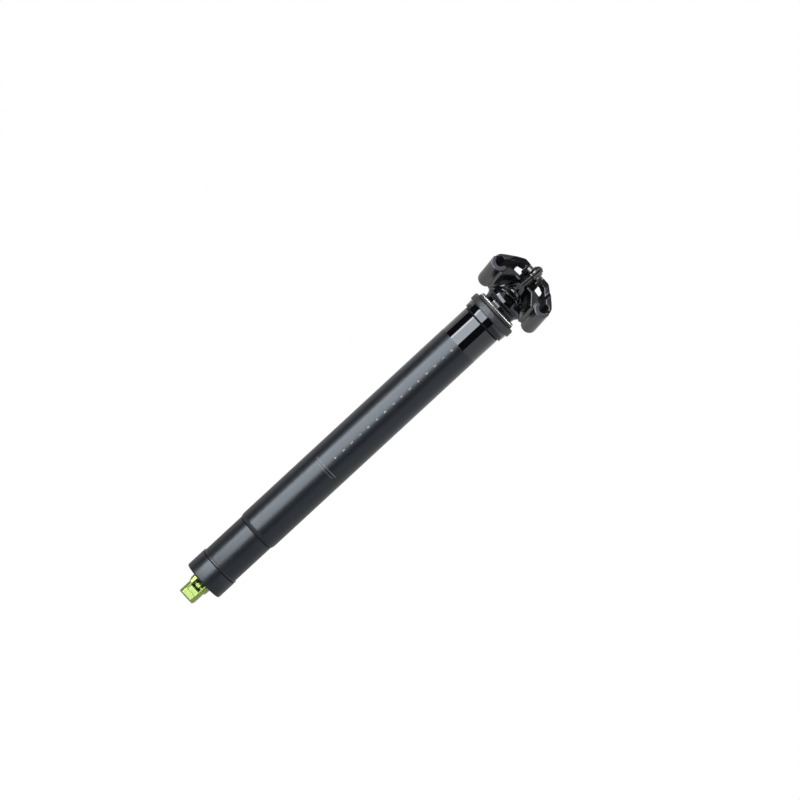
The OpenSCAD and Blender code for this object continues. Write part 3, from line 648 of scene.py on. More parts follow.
@dataclass
class OuterTube:
    """The tube in the seat tube: blasted below, polished under the collar, with its scale and lowest line."""

    bore: float = 13.7
    slim: float = 15.0
    step_z: float = -213.1
    step: float = 0.2
    taper: float = 2.7
    taper_round: float = 1.5
    end_round: float = 0.3
    step_round: float = 0.1
    shoulder_round: float = 0.25
    seam_depth: float = 0.5
    seam_width: float = 0.7
    neck: float = 15.4
    neck_z: float = -0.04
    shadow_z: float = -0.05
    gloss_low_z: float = -21.4
    first_mark_z: float = -26.9
    mark_pitch: float = 7.83
    mark_count: int = 15
    mark_height: float = 1.9
    line_z: float = -145.7
    line_left: float = -9.9
    line_right: float = 10.9
    line_height: float = 0.5
    line_cells: int = 24
    tick_pitch: float = 0.8
    tick_width: float = 0.28
    tick_height: float = 0.9
    tick_drop: float = 2.3
    tick_margin: int = 2
    print_proud: float = 0.025

    def build(self) -> None:
        """Builds the tube and its prints."""
        radius, low, high = Span.of("outer_tube").drum
        seam_low, seam = self.step_z - self.seam_width, self.slim - self.seam_depth
        tube = turned([
            (self.bore, low), (self.slim, low, self.end_round), (self.slim, seam_low), (seam, seam_low),
            (seam, self.step_z), (self.slim + self.step, self.step_z, self.step_round),
            (radius, self.step_z + self.taper, self.taper_round), (radius, self.gloss_low_z),
            (radius, 0, self.shoulder_round), (self.neck, self.neck_z), (self.neck, high, self.end_round),
            (self.bore, high)])
        made = piece("tube_shell", tube, BLASTED_BLACK, Body.LOWER, "outer_tube")
        refinish(made, GLOSS_BLACK, lambda face: face.center.z > self.gloss_low_z * MM)
        shade_groove(made, self.shadow_z, high, self.neck + NEAR)
        shade_groove(made, seam_low, self.step_z, self.slim - SLIVER)
        self.scale(radius)
        self.lowest_line(radius)

    def scale(self, radius: float) -> None:
        """Prints a plain scale of figures down the back of the tube.

        Args:
            radius: The tube's radius.
        """
        figures = [digit(i % 10, self.mark_height, self.first_mark_z - i * self.mark_pitch, self.print_proud)
                   for i in range(self.mark_count)]
        whole = joined([wrapped(figure, radius) for figure in figures])
        piece("tube_scale", whole, INK, Body.LOWER)

    def lowest_line(self, radius: float) -> None:
        """Prints the line of the least insertion with a row of ticks under it.

        Args:
            radius: The tube's radius.
        """
        width = self.line_right - self.line_left
        middle = (self.line_right + self.line_left) / 2
        parts = [tile(middle, self.line_z, panel(width, self.line_height, self.line_cells), self.print_proud)]
        for i in range(self.tick_margin, int(width / self.tick_pitch) - self.tick_margin + 1):
            parts.append(tile(self.line_left + i * self.tick_pitch, self.line_z - self.tick_drop,
                              panel(self.tick_width, self.tick_height), self.print_proud))
        whole = joined([wrapped(part, radius) for part in parts])
        piece("lowest_line", whole, FAINT_INK, Body.LOWER)


@dataclass
class Collar:
    """The collar on the tube's top end: a polished skirt, a groove and a knurled band."""

    skirt_low_z: float = 1.0
    skirt_high_z: float = 6.5
    skirt_foot: float = 17.0
    skirt_head: float = 17.4
    groove: float = 0.4
    groove_depth: float = 0.6
    bevel: float = 0.5
    chamfer: float = 0.75
    edge_round: float = 0.35
    skirt_round: float = 0.3
    bevel_foot_round: float = 0.1
    bevel_head_round: float = 0.15
    land: float = 0.6
    knurl_seat: float = 0.6
    knurl_wall: float = 0.3
    knurl_gap: float = 0.05
    knurl_depth: float = 0.135
    knurl_columns: int = 232
    knurl_rows: int = 8
    inner: float = 15.43
    lip: float = 0.4
    lip_height: float = 1.0

    def build(self) -> None:
        """Builds the skirt and the knurled band."""
        radius, _, high = Span.of("top_collar").drum
        low = self.skirt_high_z + self.groove
        core, mouth = radius - self.knurl_seat, self.inner - self.lip
        shadow = self.skirt_head - self.groove_depth
        skirt = turned([
            (self.inner, self.skirt_low_z), (self.skirt_foot, self.skirt_low_z, self.edge_round),
            (self.skirt_head, self.skirt_high_z, self.skirt_round), (shadow, self.skirt_high_z),
            (shadow, low + self.bevel), (self.inner, low + self.bevel)])
        piece("collar_skirt", skirt, GLOSS_BLACK, Body.LOWER)
        knurl_low, knurl_high = low + self.land, high - self.chamfer - self.knurl_gap
        band = turned([
            (self.inner, low), (radius - self.bevel, low, self.bevel_foot_round),
            (radius, low + self.bevel, self.bevel_head_round), (radius, knurl_low), (core, knurl_low + NEAR),
            (core, knurl_high - NEAR), (radius, knurl_high), (radius - self.chamfer, high, self.edge_round),
            (mouth, high), (mouth, high - self.lip_height), (self.inner, high - self.lip_height)])
        piece("collar_band", band, BLASTED_BLACK, Body.LOWER, "top_collar")
        knurl = self.knurl(radius, core - self.knurl_wall, knurl_low, knurl_high)
        piece("collar_knurl", knurl, KNURLED_BLACK, Body.LOWER)

    def knurl(self, radius: float, inner: float, low: float, high: float) -> BMesh:
        """Rolls a diamond knurl round the collar.

        Args:
            radius: The radius of the diamonds' tips.
            inner: The radius of the sleeve's inside.
            low: The knurl's foot.
            high: The knurl's head.

        Returns:
            A closed sleeve.
        """
        mesh = bmesh.new()
        bmesh.ops.create_grid(mesh, x_segments=self.knurl_columns, y_segments=self.knurl_rows, size=0.5)
        for vert in mesh.verts:
            column = round((vert.co.x + 0.5) * self.knurl_columns)
            row = round((vert.co.y + 0.5) * self.knurl_rows)
            raised = (column + row) % 2 == 0 and 0 < row < self.knurl_rows
            r = radius - (0 if raised else self.knurl_depth)
            turn = tau * column / self.knurl_columns
            vert.co = Vector((r * cos(turn), r * sin(turn), low + (high - low) * row / self.knurl_rows))
        bmesh.ops.remove_doubles(mesh, verts=mesh.verts[:], dist=WELD)
        rims = [edge for edge in mesh.edges if edge.is_boundary]
        inward = bmesh.ops.extrude_edge_only(mesh, edges=rims)["geom"]
        for vert in (item for item in inward if isinstance(item, BMVert)):
            vert.co.xy = vert.co.xy.normalized() * inner
        bmesh.ops.bridge_loops(mesh, edges=[edge for edge in mesh.edges if edge.is_boundary])
        bmesh.ops.triangulate(mesh, faces=[face for face in mesh.faces if len(face.verts) == 4])
        bmesh.ops.recalc_face_normals(mesh, faces=mesh.faces[:])
        return mesh


@dataclass
class Wiper:
    """The rubber wiper with the fine coil spring round its lip."""

    post: float = 12.7
    lip_gap: float = 0.08
    lip_land: float = 0.4
    lip_chamfer: float = 0.9
    lip_chamfer_height: float = 0.5
    lip_chamfer_round: float = 0.2
    lip_round: float = 0.1
    root_drop: float = 2.0
    relief: float = 1.0
    rim_round: float = 0.25
    under_spring: float = 0.35
    under_spring_round: float = 0.12
    over_spring: float = 0.7
    over_spring_round: float = 0.15
    crown: float = 0.95
    crown_round: float = 0.3
    seat_wall: float = 0.3
    seat_play: float = 0.03
    seat_round: float = 0.1
    coil_turns: int = 300
    coil_slant_deg: float = 12.0
    wire: float = 0.16
    wire_facets: int = 5
    ring_facets: int = 10

    def build(self) -> None:
        """Builds the seal and its spring."""
        rim, low, top = Span.of("wiper_seal").drum
        spring, spring_low, spring_high = Span.of("garter_spring").drum
        rest = Span.of("top_collar").high.z + SLIVER
        middle, spring_half = (spring_low + spring_high) / 2, (spring_high - spring_low) / 2
        half = spring_half + self.seat_play
        seat = rim - self.seat_wall - 2 * half
        lip = self.post + self.lip_gap
        land = top - self.lip_chamfer_height
        seal = turned([
            (lip + self.relief, low), (rim - self.relief, low), (rim - self.relief, rest),
            (rim, rest, self.rim_round), (rim - self.under_spring, middle - half, self.under_spring_round),
            (seat, middle - half, self.seat_round), (seat, middle + half, self.seat_round),
            (rim - self.over_spring, middle + half, self.over_spring_round),
            (rim - self.crown, top, self.crown_round), (lip + self.lip_chamfer, top, self.lip_chamfer_round),
            (lip, land, self.lip_round), (lip, land - self.lip_land, self.lip_round),
            (lip + self.relief, top - self.root_drop)])
        piece("wiper", seal, RUBBER, Body.LOWER, "wiper_seal")
        coil = self.coil(spring, spring_half, middle)
        piece("wiper_spring", coil, LIGHT_SPRING, Body.LOWER, "garter_spring")

    def coil(self, outer: float, half: float, height: float) -> BMesh:
        """Lays a fine coil round the lip, one slanted turn beside the next.

        Args:
            outer: The spring's outer radius.
            half: Half the thickness of the spring.
            height: Its height.

        Returns:
            A closed mesh.
        """
        upright = Matrix.Rotation(pi / 2, 4, "X")
        turn = bmesh.new()
        bmesh.ops.create_circle(turn, cap_ends=False, segments=self.wire_facets, radius=self.wire)
        moved(turn, Matrix.Translation((half - self.wire, 0, 0)) @ upright)
        spun(turn, self.ring_facets)
        slant = Matrix.Rotation(radians(self.coil_slant_deg), 4, "X") @ upright
        moved(turn, Matrix.Translation((outer - half, 0, height)) @ slant)
        rings = [moved(turn.copy(), Matrix.Rotation(tau * i / self.coil_turns, 4, "Z"))
                 for i in range(self.coil_turns)]
        turn.free()
        return joined(rings)


@dataclass
class SlidingPost:
    """The sliding tube and the head on it, whose dome narrows like a bell."""

    radius: float = 12.7
    bore: float = 11.1
    foot_round: float = 0.5
    head_voxel: float = 0.3
    head_passes: int = 14
    melting_passes: int = 60
    bell_z: float = 21.6
    bell_radius: float = 15.05
    bell_bend: float = 1.6
    bell_lean: float = 0.6
    side_lean: float = 0.12
    bell_squareness: float = 2.2
    bell_reach: float = 1.15
    reach_fade: float = 0.08
    front_fade: float = 3.0
    neck_z: float = 18.2
    neck_radius: float = 13.03
    neck_inside: float = 12.3
    ear_foot: Vector = Vector((-19.583, 0, 29.211))
    ear_radius: float = 6.15
    ear_slack: float = 1.0
    ear_rounding: float = 1.6
    ear_round_low: float = 4.0
    ear_round_height: float = 5.1
    ear_half: float = 7.5
    ear_low: float = 2.7
    ear_fade: float = 1.5
    seat_z: float = 32.3
    seat_radius: float = 9.6
    seat_wall: float = 0.5
    seat_fade: float = 0.8
    skin_x: float = 2.0
    skin_from_seat: float = 0.6
    skin_from_bore: float = 6.0

    def build(self) -> None:
        """Builds the tube and the head."""
        _, low, high = Span.of("inner_tube").drum
        tube = turned([
            (self.bore, low), (self.radius, low, self.foot_round), (self.radius, high), (self.bore, high)])
        piece("sliding_tube", tube, GLOSS_BLACK, Body.UPPER, "inner_tube")
        head = softened("post_head", self.head_voxel, self.head_passes, shape=self.bell,
                        melted=self.rear_skin, melting_passes=self.melting_passes)
        piece("head_casting", head, GLOSS_BLACK, Body.UPPER, "post_head")

    def along_ear(self, place: Vector) -> tuple[float, Vector]:
        """Measures where a point is beside the rear bolt's axis.

        Args:
            place: The point.

        Returns:
            Its height along the axis and its offset from it.
        """
        axis = leaning(CLAMP_TILT_DEG)
        along = (place - self.ear_foot).dot(axis)
        return along, place - self.ear_foot - axis * along

    def from_seat(self, place: Vector) -> float:
        """Measures how far a point is outside the cradle's round seat."""
        return hypot(place.x, place.z - self.seat_z) - self.seat_radius

    def rear_skin(self, place: Vector) -> bool:
        """Tells whether a point is on the outside of the dome or the rear ear.

        Args:
            place: The point.

        Returns:
            Whether it is, and not near the cradle's seat or in the bolt's bore.
        """
        off_seat = self.from_seat(place) > self.skin_from_seat
        off_bore = self.along_ear(place)[1].length > self.skin_from_bore
        return place.x < self.skin_x and place.z > self.bell_z and off_seat and off_bore

    def flare(self, place: Vector) -> None:
        """Draws a point of the neck to a smooth curve that widens upwards.

        Args:
            place: The point, which is moved.
        """
        reach = hypot(place.x, place.y)
        if self.neck_z < place.z <= self.bell_z and reach > self.neck_inside:
            share = (place.z - self.neck_z) / (self.bell_z - self.neck_z)
            curve = share * share * (3 - 2 * share)
            place.xy *= (self.neck_radius + (self.bell_radius - self.neck_radius) * curve) / reach

    def bell(self, place: Vector) -> None:
        """Draws a point of the dome to the bell's surface, and rounds the rear ear.

        Args:
            place: The point, which is moved.
        """
        self.flare(place)
        up = place.z - self.bell_z
        if up <= 0 or place.x > 0:
            return
        along, out = self.along_ear(place)
        if along > self.ear_low and out.x < 0 and abs(out.length - self.ear_radius) < self.ear_slack:
            share = max(along - self.ear_round_low, 0) / self.ear_round_height
            place.xyz += out.normalized() * (self.ear_radius - self.ear_rounding * share * share) - out
            return
        deep = self.bell_radius + self.bell_bend - hypot(self.bell_bend, self.bell_lean * up)
        wide = self.bell_radius - self.side_lean * up
        power = self.bell_squareness
        fit = ((abs(place.x) / deep) ** power + (abs(place.y) / wide) ** power) ** (1 / power)
        if fit < 2 - self.bell_reach:
            return
        under_ear = unit((self.ear_low - along) / self.ear_fade)
        beside_ear = unit(max((abs(place.y) - self.ear_half) / self.ear_fade,
                              (self.bell_reach - fit) / self.reach_fade)) if fit < self.bell_reach else 0
        from_seat = unit((self.from_seat(place) - self.seat_wall) / self.seat_fade)
        weight = unit(-place.x / self.front_fade) * max(under_ear, beside_ear) * from_seat
        place.xy *= 1 + (1 / fit - 1) * weight


@dataclass
class BottomCap:
    """The cap on the tube's foot, with a shadow line at its top and a rounded lower edge."""

    floor_z: float = -257.5
    stub: float = 5.05
    slim: float = 15.03
    thread_foot_z: float = -253.0
    mouth: float = 13.4
    lip: float = 0.35
    lip_height: float = 0.4
    lip_round: float = 0.05
    edge_round: float = 0.3
    groove_round: float = 0.08
    foot_round: float = 2.2
    groove_depth: float = 0.5
    groove_drop: float = 1.4
    groove_width: float = 0.7

    def build(self) -> None:
        """Builds the cap."""
        radius, low, high = Span.of("bottom_cap").drum
        groove_top = high - self.groove_drop
        groove_low = groove_top - self.groove_width
        wall, seat, lip = radius - self.groove_depth, high - self.lip_height, self.slim + self.lip
        cap = turned([
            (self.stub, self.thread_foot_z), (self.slim, self.thread_foot_z), (self.slim, seat), (lip, seat),
            (lip, high, self.lip_round), (radius, high - self.lip, self.edge_round),
            (radius, groove_top, self.groove_round), (wall, groove_top - SLIVER), (wall, groove_low + SLIVER),
            (radius, groove_low, self.groove_round), (radius, low, self.foot_round),
            (self.mouth, low, self.edge_round), (self.mouth, self.floor_z), (self.stub, self.floor_z)])
        made = piece("foot_cap", cap, BLASTED_BLACK, Body.LOWER, "bottom_cap")
        shade_groove(made, groove_low, groove_top, radius - SLIVER)


@dataclass
class Actuator:
    """The green fork under the cap, with its lever and pin."""

    fork_voxel: float = 0.17
    lever_voxel: float = 0.1
    passes: int = 3
    pin_round: float = 0.3
    back_x: float = -7.0
    depth: float = 7.0
    cheek_y: float = 4.3
    cheek_slope: float = 0.8
    wing_z: float = -269.4
    wing_top_z: float = -263.8
    wing_growth: float = 0.1
    wing_fade: float = 1.5

    def build(self) -> None:
        """Builds the fork, the lever and the pin."""
        fork = softened("actuator_body", self.fork_voxel, self.passes, shape=self.carve)
        piece("actuator_fork", fork, GREEN, Body.LOWER, "actuator_body")
        lever = softened("actuator_lever", self.lever_voxel, self.passes)
        piece("actuator_arm", lever, GREEN, Body.LEVER, "actuator_lever")
        pin = Span.of("lever_pin")
        half, low, high = pin.drum
        r = (high - low) / 2
        outline = [(0, -half), (r, -half, self.pin_round), (r, half, self.pin_round), (0, half)]
        across = Matrix.Translation(pin.middle) @ Matrix.Rotation(pi / 2, 4, "X")
        piece("pivot_pin", moved(turned(outline, COARSE_STEPS), across), BLACK_STEEL, Body.LOWER,
              "lever_pin")

    def carve(self, place: Vector) -> None:
        """Slopes the fork's cheeks below its wings, and widens the wings.

        Args:
            place: A point, which is moved.
        """
        from_back = max(1 - (place.x - self.back_x) / self.depth, 0)
        outside = max(abs(place.y) - self.cheek_y, 0)
        place.x += self.cheek_slope * outside * from_back * unit(self.wing_z - place.z)
        if self.wing_z < place.z < self.wing_top_z:
            place.y *= 1 + self.wing_growth * unit((abs(place.y) - self.cheek_y) / self.wing_fade)


@dataclass
class RailClamp:
    """The cradle and the arched upper clamp that hold the saddle's rails."""

    rail_z: float = 32.3
    voxel: float = 0.3
    passes: int = 6
    melting_passes: int = 70
    end_u: float = -20.0
    end_fade: float = 5.0
    arm_half: float = 18.5
    arm_fade: float = 2.0
    undercut: float = 0.06
    left_skew: float = 0.14
    right_skew: float = 0.07
    lug_half: float = 5.0
    crown: float = 15.7
    crown_half: float = 11.8
    arm_slope: float = 0.76
    window_half: float = 15.8
    narrowed_half: float = 12.9
    window_from: float = 8.5
    window_to: float = 19.5
    window_u: tuple[float, float] = (-9.0, 11.5)
    window_fade: float = 3.0
    web_half: float = 16.3
    shoulder_drop: float = 1.0
    shoulder_from: float = 16.0
    shoulder_width: float = 8.0
    shoulder_low: float = 2.5
    shoulder_height: float = 4.0
    corner_from: float = 24.0
    corner_width: float = 3.7
    corner_cut: float = 1.5
    rail_half: float = 22.0
    rail_reach: float = 3.75
    rocker_radius: float = 9.5
    rocker_reach: float = 0.7
    rocker_half: float = 12.0

    def build(self) -> None:
        """Builds both halves."""
        tilted = Matrix.Rotation(radians(CLAMP_TILT_DEG), 4, "Y")
        clamp_frame = Matrix.Translation((0, 0, self.rail_z)) @ tilted
        cradle = softened("rail_cradle", self.voxel, self.passes, clamp_frame,
                          melted=lambda place: abs(place.y) < self.web_half,
                          melting_passes=self.melting_passes)
        made = piece("cradle_casting", cradle, SHEENED_CRADLE_BLACK, Body.CLAMP, "rail_cradle")
        self.shade(made, clamp_frame, False)
        clamp = softened("rail_clamp", self.voxel, self.passes, clamp_frame, self.shape_clamp)
        made = piece("clamp_casting", clamp, SATIN_BLACK, Body.CLAMP, "rail_clamp")
        self.shade(made, clamp_frame, True)

    def shade(self, made: Object, clamp_frame: Matrix, is_upper: bool) -> None:
        """Darkens the rail channels, the rocker and the undersides, where light hardly gets in.

        Args:
            made: A half of the clamp.
            clamp_frame: The clamp's frame.
            is_upper: Whether it is the upper half, with its undersides, or the cradle with its rocker.
        """
        inverse = clamp_frame.inverted()
        along, up = (clamp_frame.to_3x3() @ Vector(axis) for axis in ((1, 0, 0), (0, 0, 1)))
        most_along, least_down = 0.6, 0.5

        def in_shade(face: MeshPolygon) -> bool:
            """Tells whether a face gets little light.

            Args:
                face: A face of this half.

            Returns:
                Whether it gets darker.
            """
            place = inverse @ (face.center / MM)
            if hypot(abs(place.y) - self.rail_half, place.z) < self.rail_reach \
                    and abs(face.normal.dot(along)) < most_along:
                return True
            if is_upper:
                return -face.normal.dot(up) > least_down
            from_rocker = abs(hypot(place.x, place.z) - self.rocker_radius)
            return from_rocker < self.rocker_reach and abs(place.y) < self.rocker_half

        # Painted shade: the chosen faces get the near-black finish.
        refinish(made, PAINTED_SHADE_BLACK, in_shade)

    def shape_clamp(self, place: Vector) -> None:
        """Cuts the arms' rear faces back, lowers the shoulders and narrows the windows' outer ends.

        Args:
            place: A point in the clamp's frame, which is moved.
        """
        top = self.crown - self.arm_slope * max(abs(place.y) - self.crown_half, 0)
        near_end = max(1 - (place.x - self.end_u) / self.end_fade, 0)
        inner = unit((self.arm_half - abs(place.y)) / self.arm_fade)
        left = self.left_skew * (self.arm_half - max(place.y, self.lug_half))
        right = self.right_skew * max(-self.lug_half - place.y, 0)
        place.x += (self.undercut * max(top - place.z, 0) + left + right) * near_end * inner
        across = abs(place.y)
        outer = unit((across - self.shoulder_from) / self.shoulder_width)
        place.z -= self.shoulder_drop * outer * unit((place.z - self.shoulder_low) / self.shoulder_height)
        corner = self.corner_cut * unit((across - self.corner_from) / self.corner_width)
        place.y -= copysign(corner * unit(place.z / self.shoulder_height), place.y)
        from_window = max(self.window_u[0] - place.x, place.x - self.window_u[1], 0)
        weight = max(1 - from_window / self.window_fade, 0)
        if self.window_from < across < self.window_to and weight:
            end = self.window_from if across < self.window_half else self.window_to
            share = (across - end) / (self.window_half - end)
            inwards = (self.window_half - self.narrowed_half) * share * weight
            place.y -= copysign(inwards, place.y)
            place.z += self.arm_slope * inwards * unit((across - self.crown_half) / self.arm_fade)


@dataclass
class ClampBolt:
    """A ball-seated socket bolt with a real thread and its barrel nut."""

    name: str
    lean_deg: float
    head: float = 5.4
    ball: float = 6.0
    ball_end_deg: float = 60.0
    head_low: float = 0.8
    head_rim: float = 0.5
    socket_flats: float = 5.0
    socket_depth: float = 3.0
    socket_chamfer: float = 0.3
    socket_chamfer_depth: float = 0.25
    head_round: float = 0.45
    ball_neck: float = 0.2
    shank: float = 2.65
    shank_round: float = 0.3
    length: float = 30.0
    tip: float = 1.2
    tip_taper: float = 1.1
    tip_round: float = 0.5
    thread_from: float = 8.5
    thread_end: float = 0.8
    thread_sunk: float = 0.15
    crest: float = 2.95
    pitch: float = 1.0
    barrel: float = 2.9
    barrel_half: float = 6.2
    bore: float = 3.1
    sleeve: float = 3.9
    sleeve_low: float = -3.6
    sleeve_high: float = 4.2
    edge_round: float = 0.4
    sleeve_head_round: float = 0.7
    bore_round: float = 0.2
    waist: float = 3.65
    waist_low: float = -2.4
    waist_high: float = -0.2
    waist_slope: float = 0.2
    waist_round: float = 0.1

    def build(self) -> None:
        """Builds the bolt and its nut."""
        upright = Matrix.Rotation(radians(self.lean_deg), 4, "Y")
        foot, nut = joint_place(f"{self.name}_bolt_swivel"), joint_place(f"{self.name}_nut_swivel")
        bolt = moved(self.bolt(), Matrix.Translation(foot) @ upright)
        made = piece(f"{self.name}_bolt", bolt, BLACK_STEEL, Body(f"{self.name}_bolt"),
                     f"{self.name}_clamp_bolt")
        axis = leaning(self.lean_deg)
        socket_top = self.head_low + self.socket_depth + NEAR
        least_down = 0.9
        # Painted shade: the socket's floor and the head's end face turn near black.
        refinish(made, PAINTED_SHADE_BLACK, lambda face: (face.center / MM - foot).dot(axis) < socket_top
                 and -face.normal.dot(axis) > least_down)
        piece(f"{self.name}_nut", moved(self.nut(), Matrix.Translation(nut) @ upright), BLACK_STEEL,
              Body(f"{self.name}_nut"), f"{self.name}_barrel_nut")

    def bolt(self) -> BMesh:
        """Turns the bolt with its foot at the origin, and winds its thread.

        Returns:
            A closed mesh.
        """
        seat = sqrt(self.ball ** 2 - self.head ** 2)
        ball_start, ball_end = acos(self.head / self.ball), radians(self.ball_end_deg)
        turns = [ball_start + (ball_end - ball_start) * i / BALL_STEPS for i in range(1, BALL_STEPS + 1)]
        ball = [(self.ball * cos(turn), self.ball * sin(turn)) for turn in turns]
        across, low = self.socket_flats / sqrt(3), self.head_low
        head = turned([
            (0, low + self.socket_depth), (across, low + self.socket_depth),
            (across, low + self.socket_chamfer_depth), (across + self.socket_chamfer, low),
            (self.head, low, self.head_round), (self.head, max(seat, low + self.head_rim)), *ball,
            (self.shank, ball[-1][1] + self.ball_neck),
            (self.shank, self.length - self.tip, self.shank_round),
            (self.shank - self.tip_taper, self.length, self.tip_round), (0, self.length)], COARSE_STEPS)
        ridge = thread(self.shank - self.thread_sunk, self.crest, self.pitch, self.thread_from,
                       self.length - self.thread_end)
        return joined([head, ridge])

    def nut(self) -> BMesh:
        """Turns the nut's sleeve and the barrels on both its sides.

        Returns:
            A closed mesh.
        """
        sleeve = turned([
            (self.bore, self.sleeve_low), (self.sleeve, self.sleeve_low, self.edge_round),
            (self.sleeve, self.waist_low - self.waist_slope, self.waist_round),
            (self.waist, self.waist_low, self.waist_round), (self.waist, self.waist_high, self.waist_round),
            (self.sleeve, self.waist_high + self.waist_slope, self.waist_round),
            (self.sleeve, self.sleeve_high, self.sleeve_head_round),
            (self.bore, self.sleeve_high, self.bore_round)], COARSE_STEPS)
        outline = [(0, self.bore), (self.barrel, self.bore),
                   (self.barrel, self.barrel_half, self.edge_round), (0, self.barrel_half)]
        barrels = [moved(turned(outline, COARSE_STEPS), Matrix.Rotation(-side * pi / 2, 4, "X"))
                   for side in (-1, 1)]
        return joined([sleeve, *barrels])


@dataclass
class HiddenPieces:
    """The pieces inside the post, which keep their CAD form and get their finish."""

    def dress(self) -> None:
        """Gives every hidden node its finish."""
        nodes = {
            BRIGHT_STEEL: ("cable_barrel", "valve_pin"), BLACK_STEEL: ("cable_grub_screw",),
            BARE_ALUMINIUM: ("cartridge_tube", "cartridge_cap", "rod_guide", "floating_piston"),
            CHROMED_STEEL: ("cartridge_rod",), BRASS: ("cartridge_piston", "guide_keys"),
            LINER: ("upper_bushing", "lower_bushing"), PALE_RING: ("piston_ring",), FOAM: ("foam_ring",),
            RUBBER: ("rod_seal", "floating_piston_ring"),
        }
        for finish, names in nodes.items():
            for name in names:
                materials = frame["nodes"][name].data.materials
                materials.clear()
                materials.append(finish.material())
                LOG.info("%s: dressed as %s", name, finish.name)


@dataclass
class PhotoCamera:
    """The camera behind the bicycle, rolled so that the post leans as in the photograph."""

    azimuth_deg: float = 272.6
    elevation_deg: float = 3.0
    distance_mm: float = 3400.0
    photo_side_px: int = 800
    px_per_mm: float = 1.4405
    aim_z_mm: float = -77.1
    aim_y_mm: float = -0.28
    axis_deg: float = 42.712
    sensor_mm: float = 36.0
    clip_end_m: float = 20.0

    @property
    def backwards(self) -> Vector:
        """The direction from the aim to the camera."""
        turn, rise = radians(self.azimuth_deg), radians(self.elevation_deg)
        return Vector((sin(turn) * cos(rise), -cos(turn) * cos(rise), sin(rise)))

    def place(self) -> None:
        """Makes the camera and hands it to the scene."""
        data = bpy.data.cameras.new("photo_camera")
        data.sensor_width = self.sensor_mm
        data.lens = self.sensor_mm * self.distance_mm * self.px_per_mm / self.photo_side_px
        data.clip_end = self.clip_end_m
        back = self.backwards
        lean = Matrix.Rotation(radians(90 - self.axis_deg), 4, "Z")
        aim = Vector((0, self.aim_y_mm, self.aim_z_mm)) * MM
        camera = shown("photo_camera", data)
        camera.matrix_world = Matrix.Translation(aim + back * self.distance_mm * MM) @ turned_to(back) @ lean
        bpy.context.scene.camera = camera


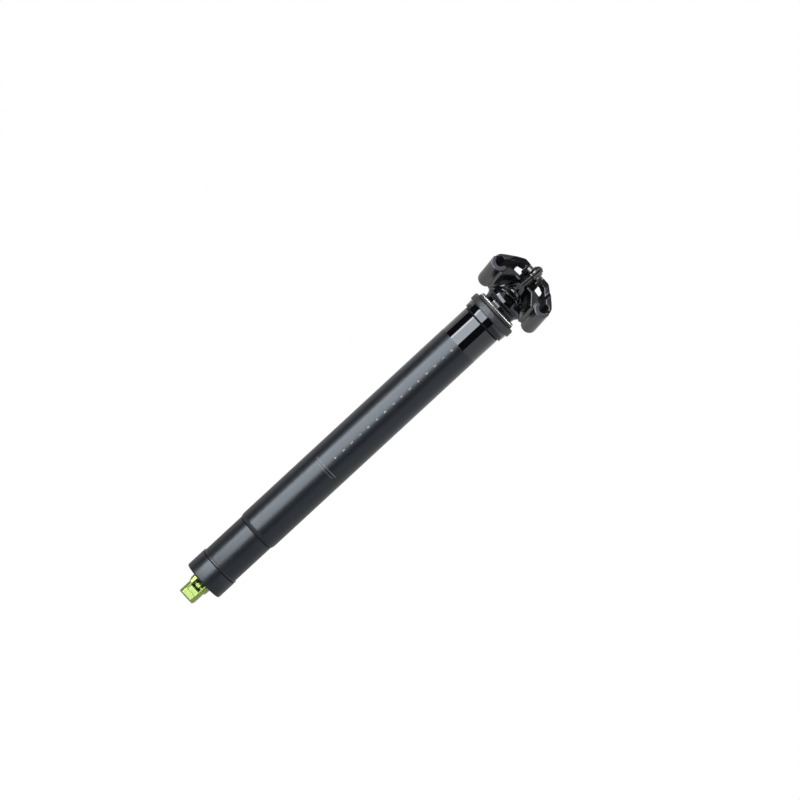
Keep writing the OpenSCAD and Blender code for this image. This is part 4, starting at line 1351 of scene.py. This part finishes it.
@dataclass
class Studio:
    """A white studio with a broad softbox, a brighter strip over its left end, and two black cards."""

    camera: PhotoCamera
    centre_z_mm: float = -110.0
    softbox_deg: tuple[float, float] = (-59.5, -4.0)
    softbox_distance_m: float = 1.6
    softbox_height_m: float = 2.4
    mirrored_radiance: float = 6.4
    strip_deg: tuple[float, float] = (-59.5, -51.0)
    strip_radiance: float = 6.0
    lighting_radiance: float = 2.2
    left_card_deg: tuple[float, float] = (-101.0, -63.0)
    right_card_deg: tuple[float, float] = (-3.0, 36.0)
    card_distance_m: float = 1.9
    card_height_m: float = 5.2
    card_tone: float = 0.002
    fill: float = 0.55
    floor_z_m: float = -0.62
    floor_side_m: float = 12.0
    floor_tone: float = 0.8
    floor_roughness: float = 0.9
    floor_glow: float = 0.75
    floor_lit_tone: float = 0.5

    def towards(self, offset_deg: float) -> Vector:
        """The level direction at an angle to the right of the camera, seen from the camera."""
        turn = radians(self.camera.azimuth_deg + offset_deg)
        return Vector((sin(turn), -cos(turn), 0))

    def facing(self, span_deg: tuple[float, float], distance: float) -> tuple[Matrix, float]:
        """Places a flat panel that covers a span of directions, facing the post.

        Args:
            span_deg: Its left and right limits.
            distance: Its distance from the post in metres.

        Returns:
            The panel's matrix, with its front along minus Z, and its width.
        """
        half = radians(span_deg[1] - span_deg[0]) / 2
        back = self.towards(sum(span_deg) / 2)
        middle = Vector((0, 0, self.centre_z_mm * MM)) + back * distance * cos(half)
        return Matrix.Translation(middle) @ turned_to(back), 2 * distance * sin(half)

    def softbox(self, name: str, span_deg: tuple[float, float], radiance: float, mirrored: bool) -> None:
        """Hangs a softbox, as mirrored by gloss or as it lights matt surfaces.

        Args:
            name: The lamp's name.
            span_deg: The directions it covers.
            radiance: Its brightness, where white is 1.
            mirrored: Whether gloss mirrors it and matt surfaces don't see it, or the other way round.
        """
        light = bpy.data.lights.new(name, "AREA")
        place, width = self.facing(span_deg, self.softbox_distance_m)
        light.shape = "RECTANGLE"
        light.size = width
        light.size_y = self.softbox_height_m
        light.energy = radiance * pi * width * self.softbox_height_m
        lamp = shown(name, light)
        lamp.matrix_world = place
        lamp.visible_diffuse = not mirrored
        lamp.visible_glossy = mirrored

    def plane(self, graph: Graph, width: float, height: float) -> Object:
        """Lays a plane on the stage.

        Args:
            graph: The tree of its material, whose name it shares.
            width: Its width in metres.
            height: Its height in metres.

        Returns:
            The plane.
        """
        data = saved(panel(width, height), graph.owner.name)
        data.materials.append(graph.owner)
        made = shown(data.name, data)
        return made

    def card(self, name: str, span_deg: tuple[float, float]) -> None:
        """Stands a black card that the camera doesn't see.

        Args:
            name: The card's name.
            span_deg: The directions it covers.
        """
        graph = Graph(bpy.data.materials.new(name))
        graph.feed(graph.shader, {"Base Color": (*[self.card_tone] * 3, 1), "Roughness": 1.0, "IOR": 1.0})
        place, width = self.facing(span_deg, self.card_distance_m)
        card = self.plane(graph, width, self.card_height_m)
        card.matrix_world = place
        card.visible_camera = card.visible_shadow = card.visible_diffuse = False

    def world(self) -> None:
        """Surrounds the post with white, dimmer for its matt surfaces."""
        graph = Graph(bpy.data.worlds.new("white_studio"), "Background")
        bpy.context.scene.world = graph.owner
        path = graph.node("ShaderNodeLightPath").outputs
        seen = path["Is Camera Ray"]
        for name in ("Is Glossy Ray", "Is Transmission Ray"):
            seen = graph.node("ShaderNodeMath", {0: seen, 1: path[name]}, operation="MAXIMUM").outputs[0]
        graph.feed(graph.shader, {"Color": (1, 1, 1, 1), "Strength": graph.ramp(seen, self.fill, 1)})

    def floor(self) -> None:
        """Lays a pale floor well below the post, white to the camera where no shadow falls."""
        graph = Graph(bpy.data.materials.new("floor"))
        tone = (*[self.floor_tone] * 3, 1)
        graph.feed(graph.shader, {"Base Color": tone, "Roughness": self.floor_roughness})
        glow = graph.node("ShaderNodeEmission", {"Strength": self.floor_glow})
        grey = graph.node("ShaderNodeBsdfDiffuse", {"Color": (*[self.floor_lit_tone] * 3, 1)})
        both = graph.node("ShaderNodeAddShader", {0: glow.outputs[0], 1: grey.outputs[0]})
        seen = graph.node("ShaderNodeLightPath").outputs["Is Camera Ray"]
        pick = graph.node("ShaderNodeMixShader", {0: seen, 1: graph.shader.outputs[0], 2: both.outputs[0]})
        graph.feed(graph.tree.nodes["Material Output"], {"Surface": pick.outputs[0]})
        self.plane(graph, self.floor_side_m, self.floor_side_m).location.z = self.floor_z_m

    def build(self) -> None:
        """Sets up the whole studio."""
        self.softbox("mirrored_softbox", self.softbox_deg, self.mirrored_radiance, True)
        self.softbox("mirrored_strip", self.strip_deg, self.strip_radiance, True)
        self.softbox("lighting_softbox", self.softbox_deg, self.lighting_radiance, False)
        self.card("left_black_card", self.left_card_deg)
        self.card("right_black_card", self.right_card_deg)
        self.world()
        self.floor()
        bpy.context.scene.view_settings.view_transform = "Standard"


def main() -> None:
    """Builds the looks piece by piece."""
    logging.basicConfig(level=logging.INFO, format="%(message)s")
    camera = PhotoCamera()
    camera.place()
    Studio(camera).build()
    OuterTube().build()
    Collar().build()
    Wiper().build()
    SlidingPost().build()
    BottomCap().build()
    Actuator().build()
    RailClamp().build()
    ClampBolt("rear", CLAMP_TILT_DEG).build()
    ClampBolt("front", FRONT_BOLT_LEAN_DEG).build()
    HiddenPieces().dress()


if __name__ == "__main__":
    main()
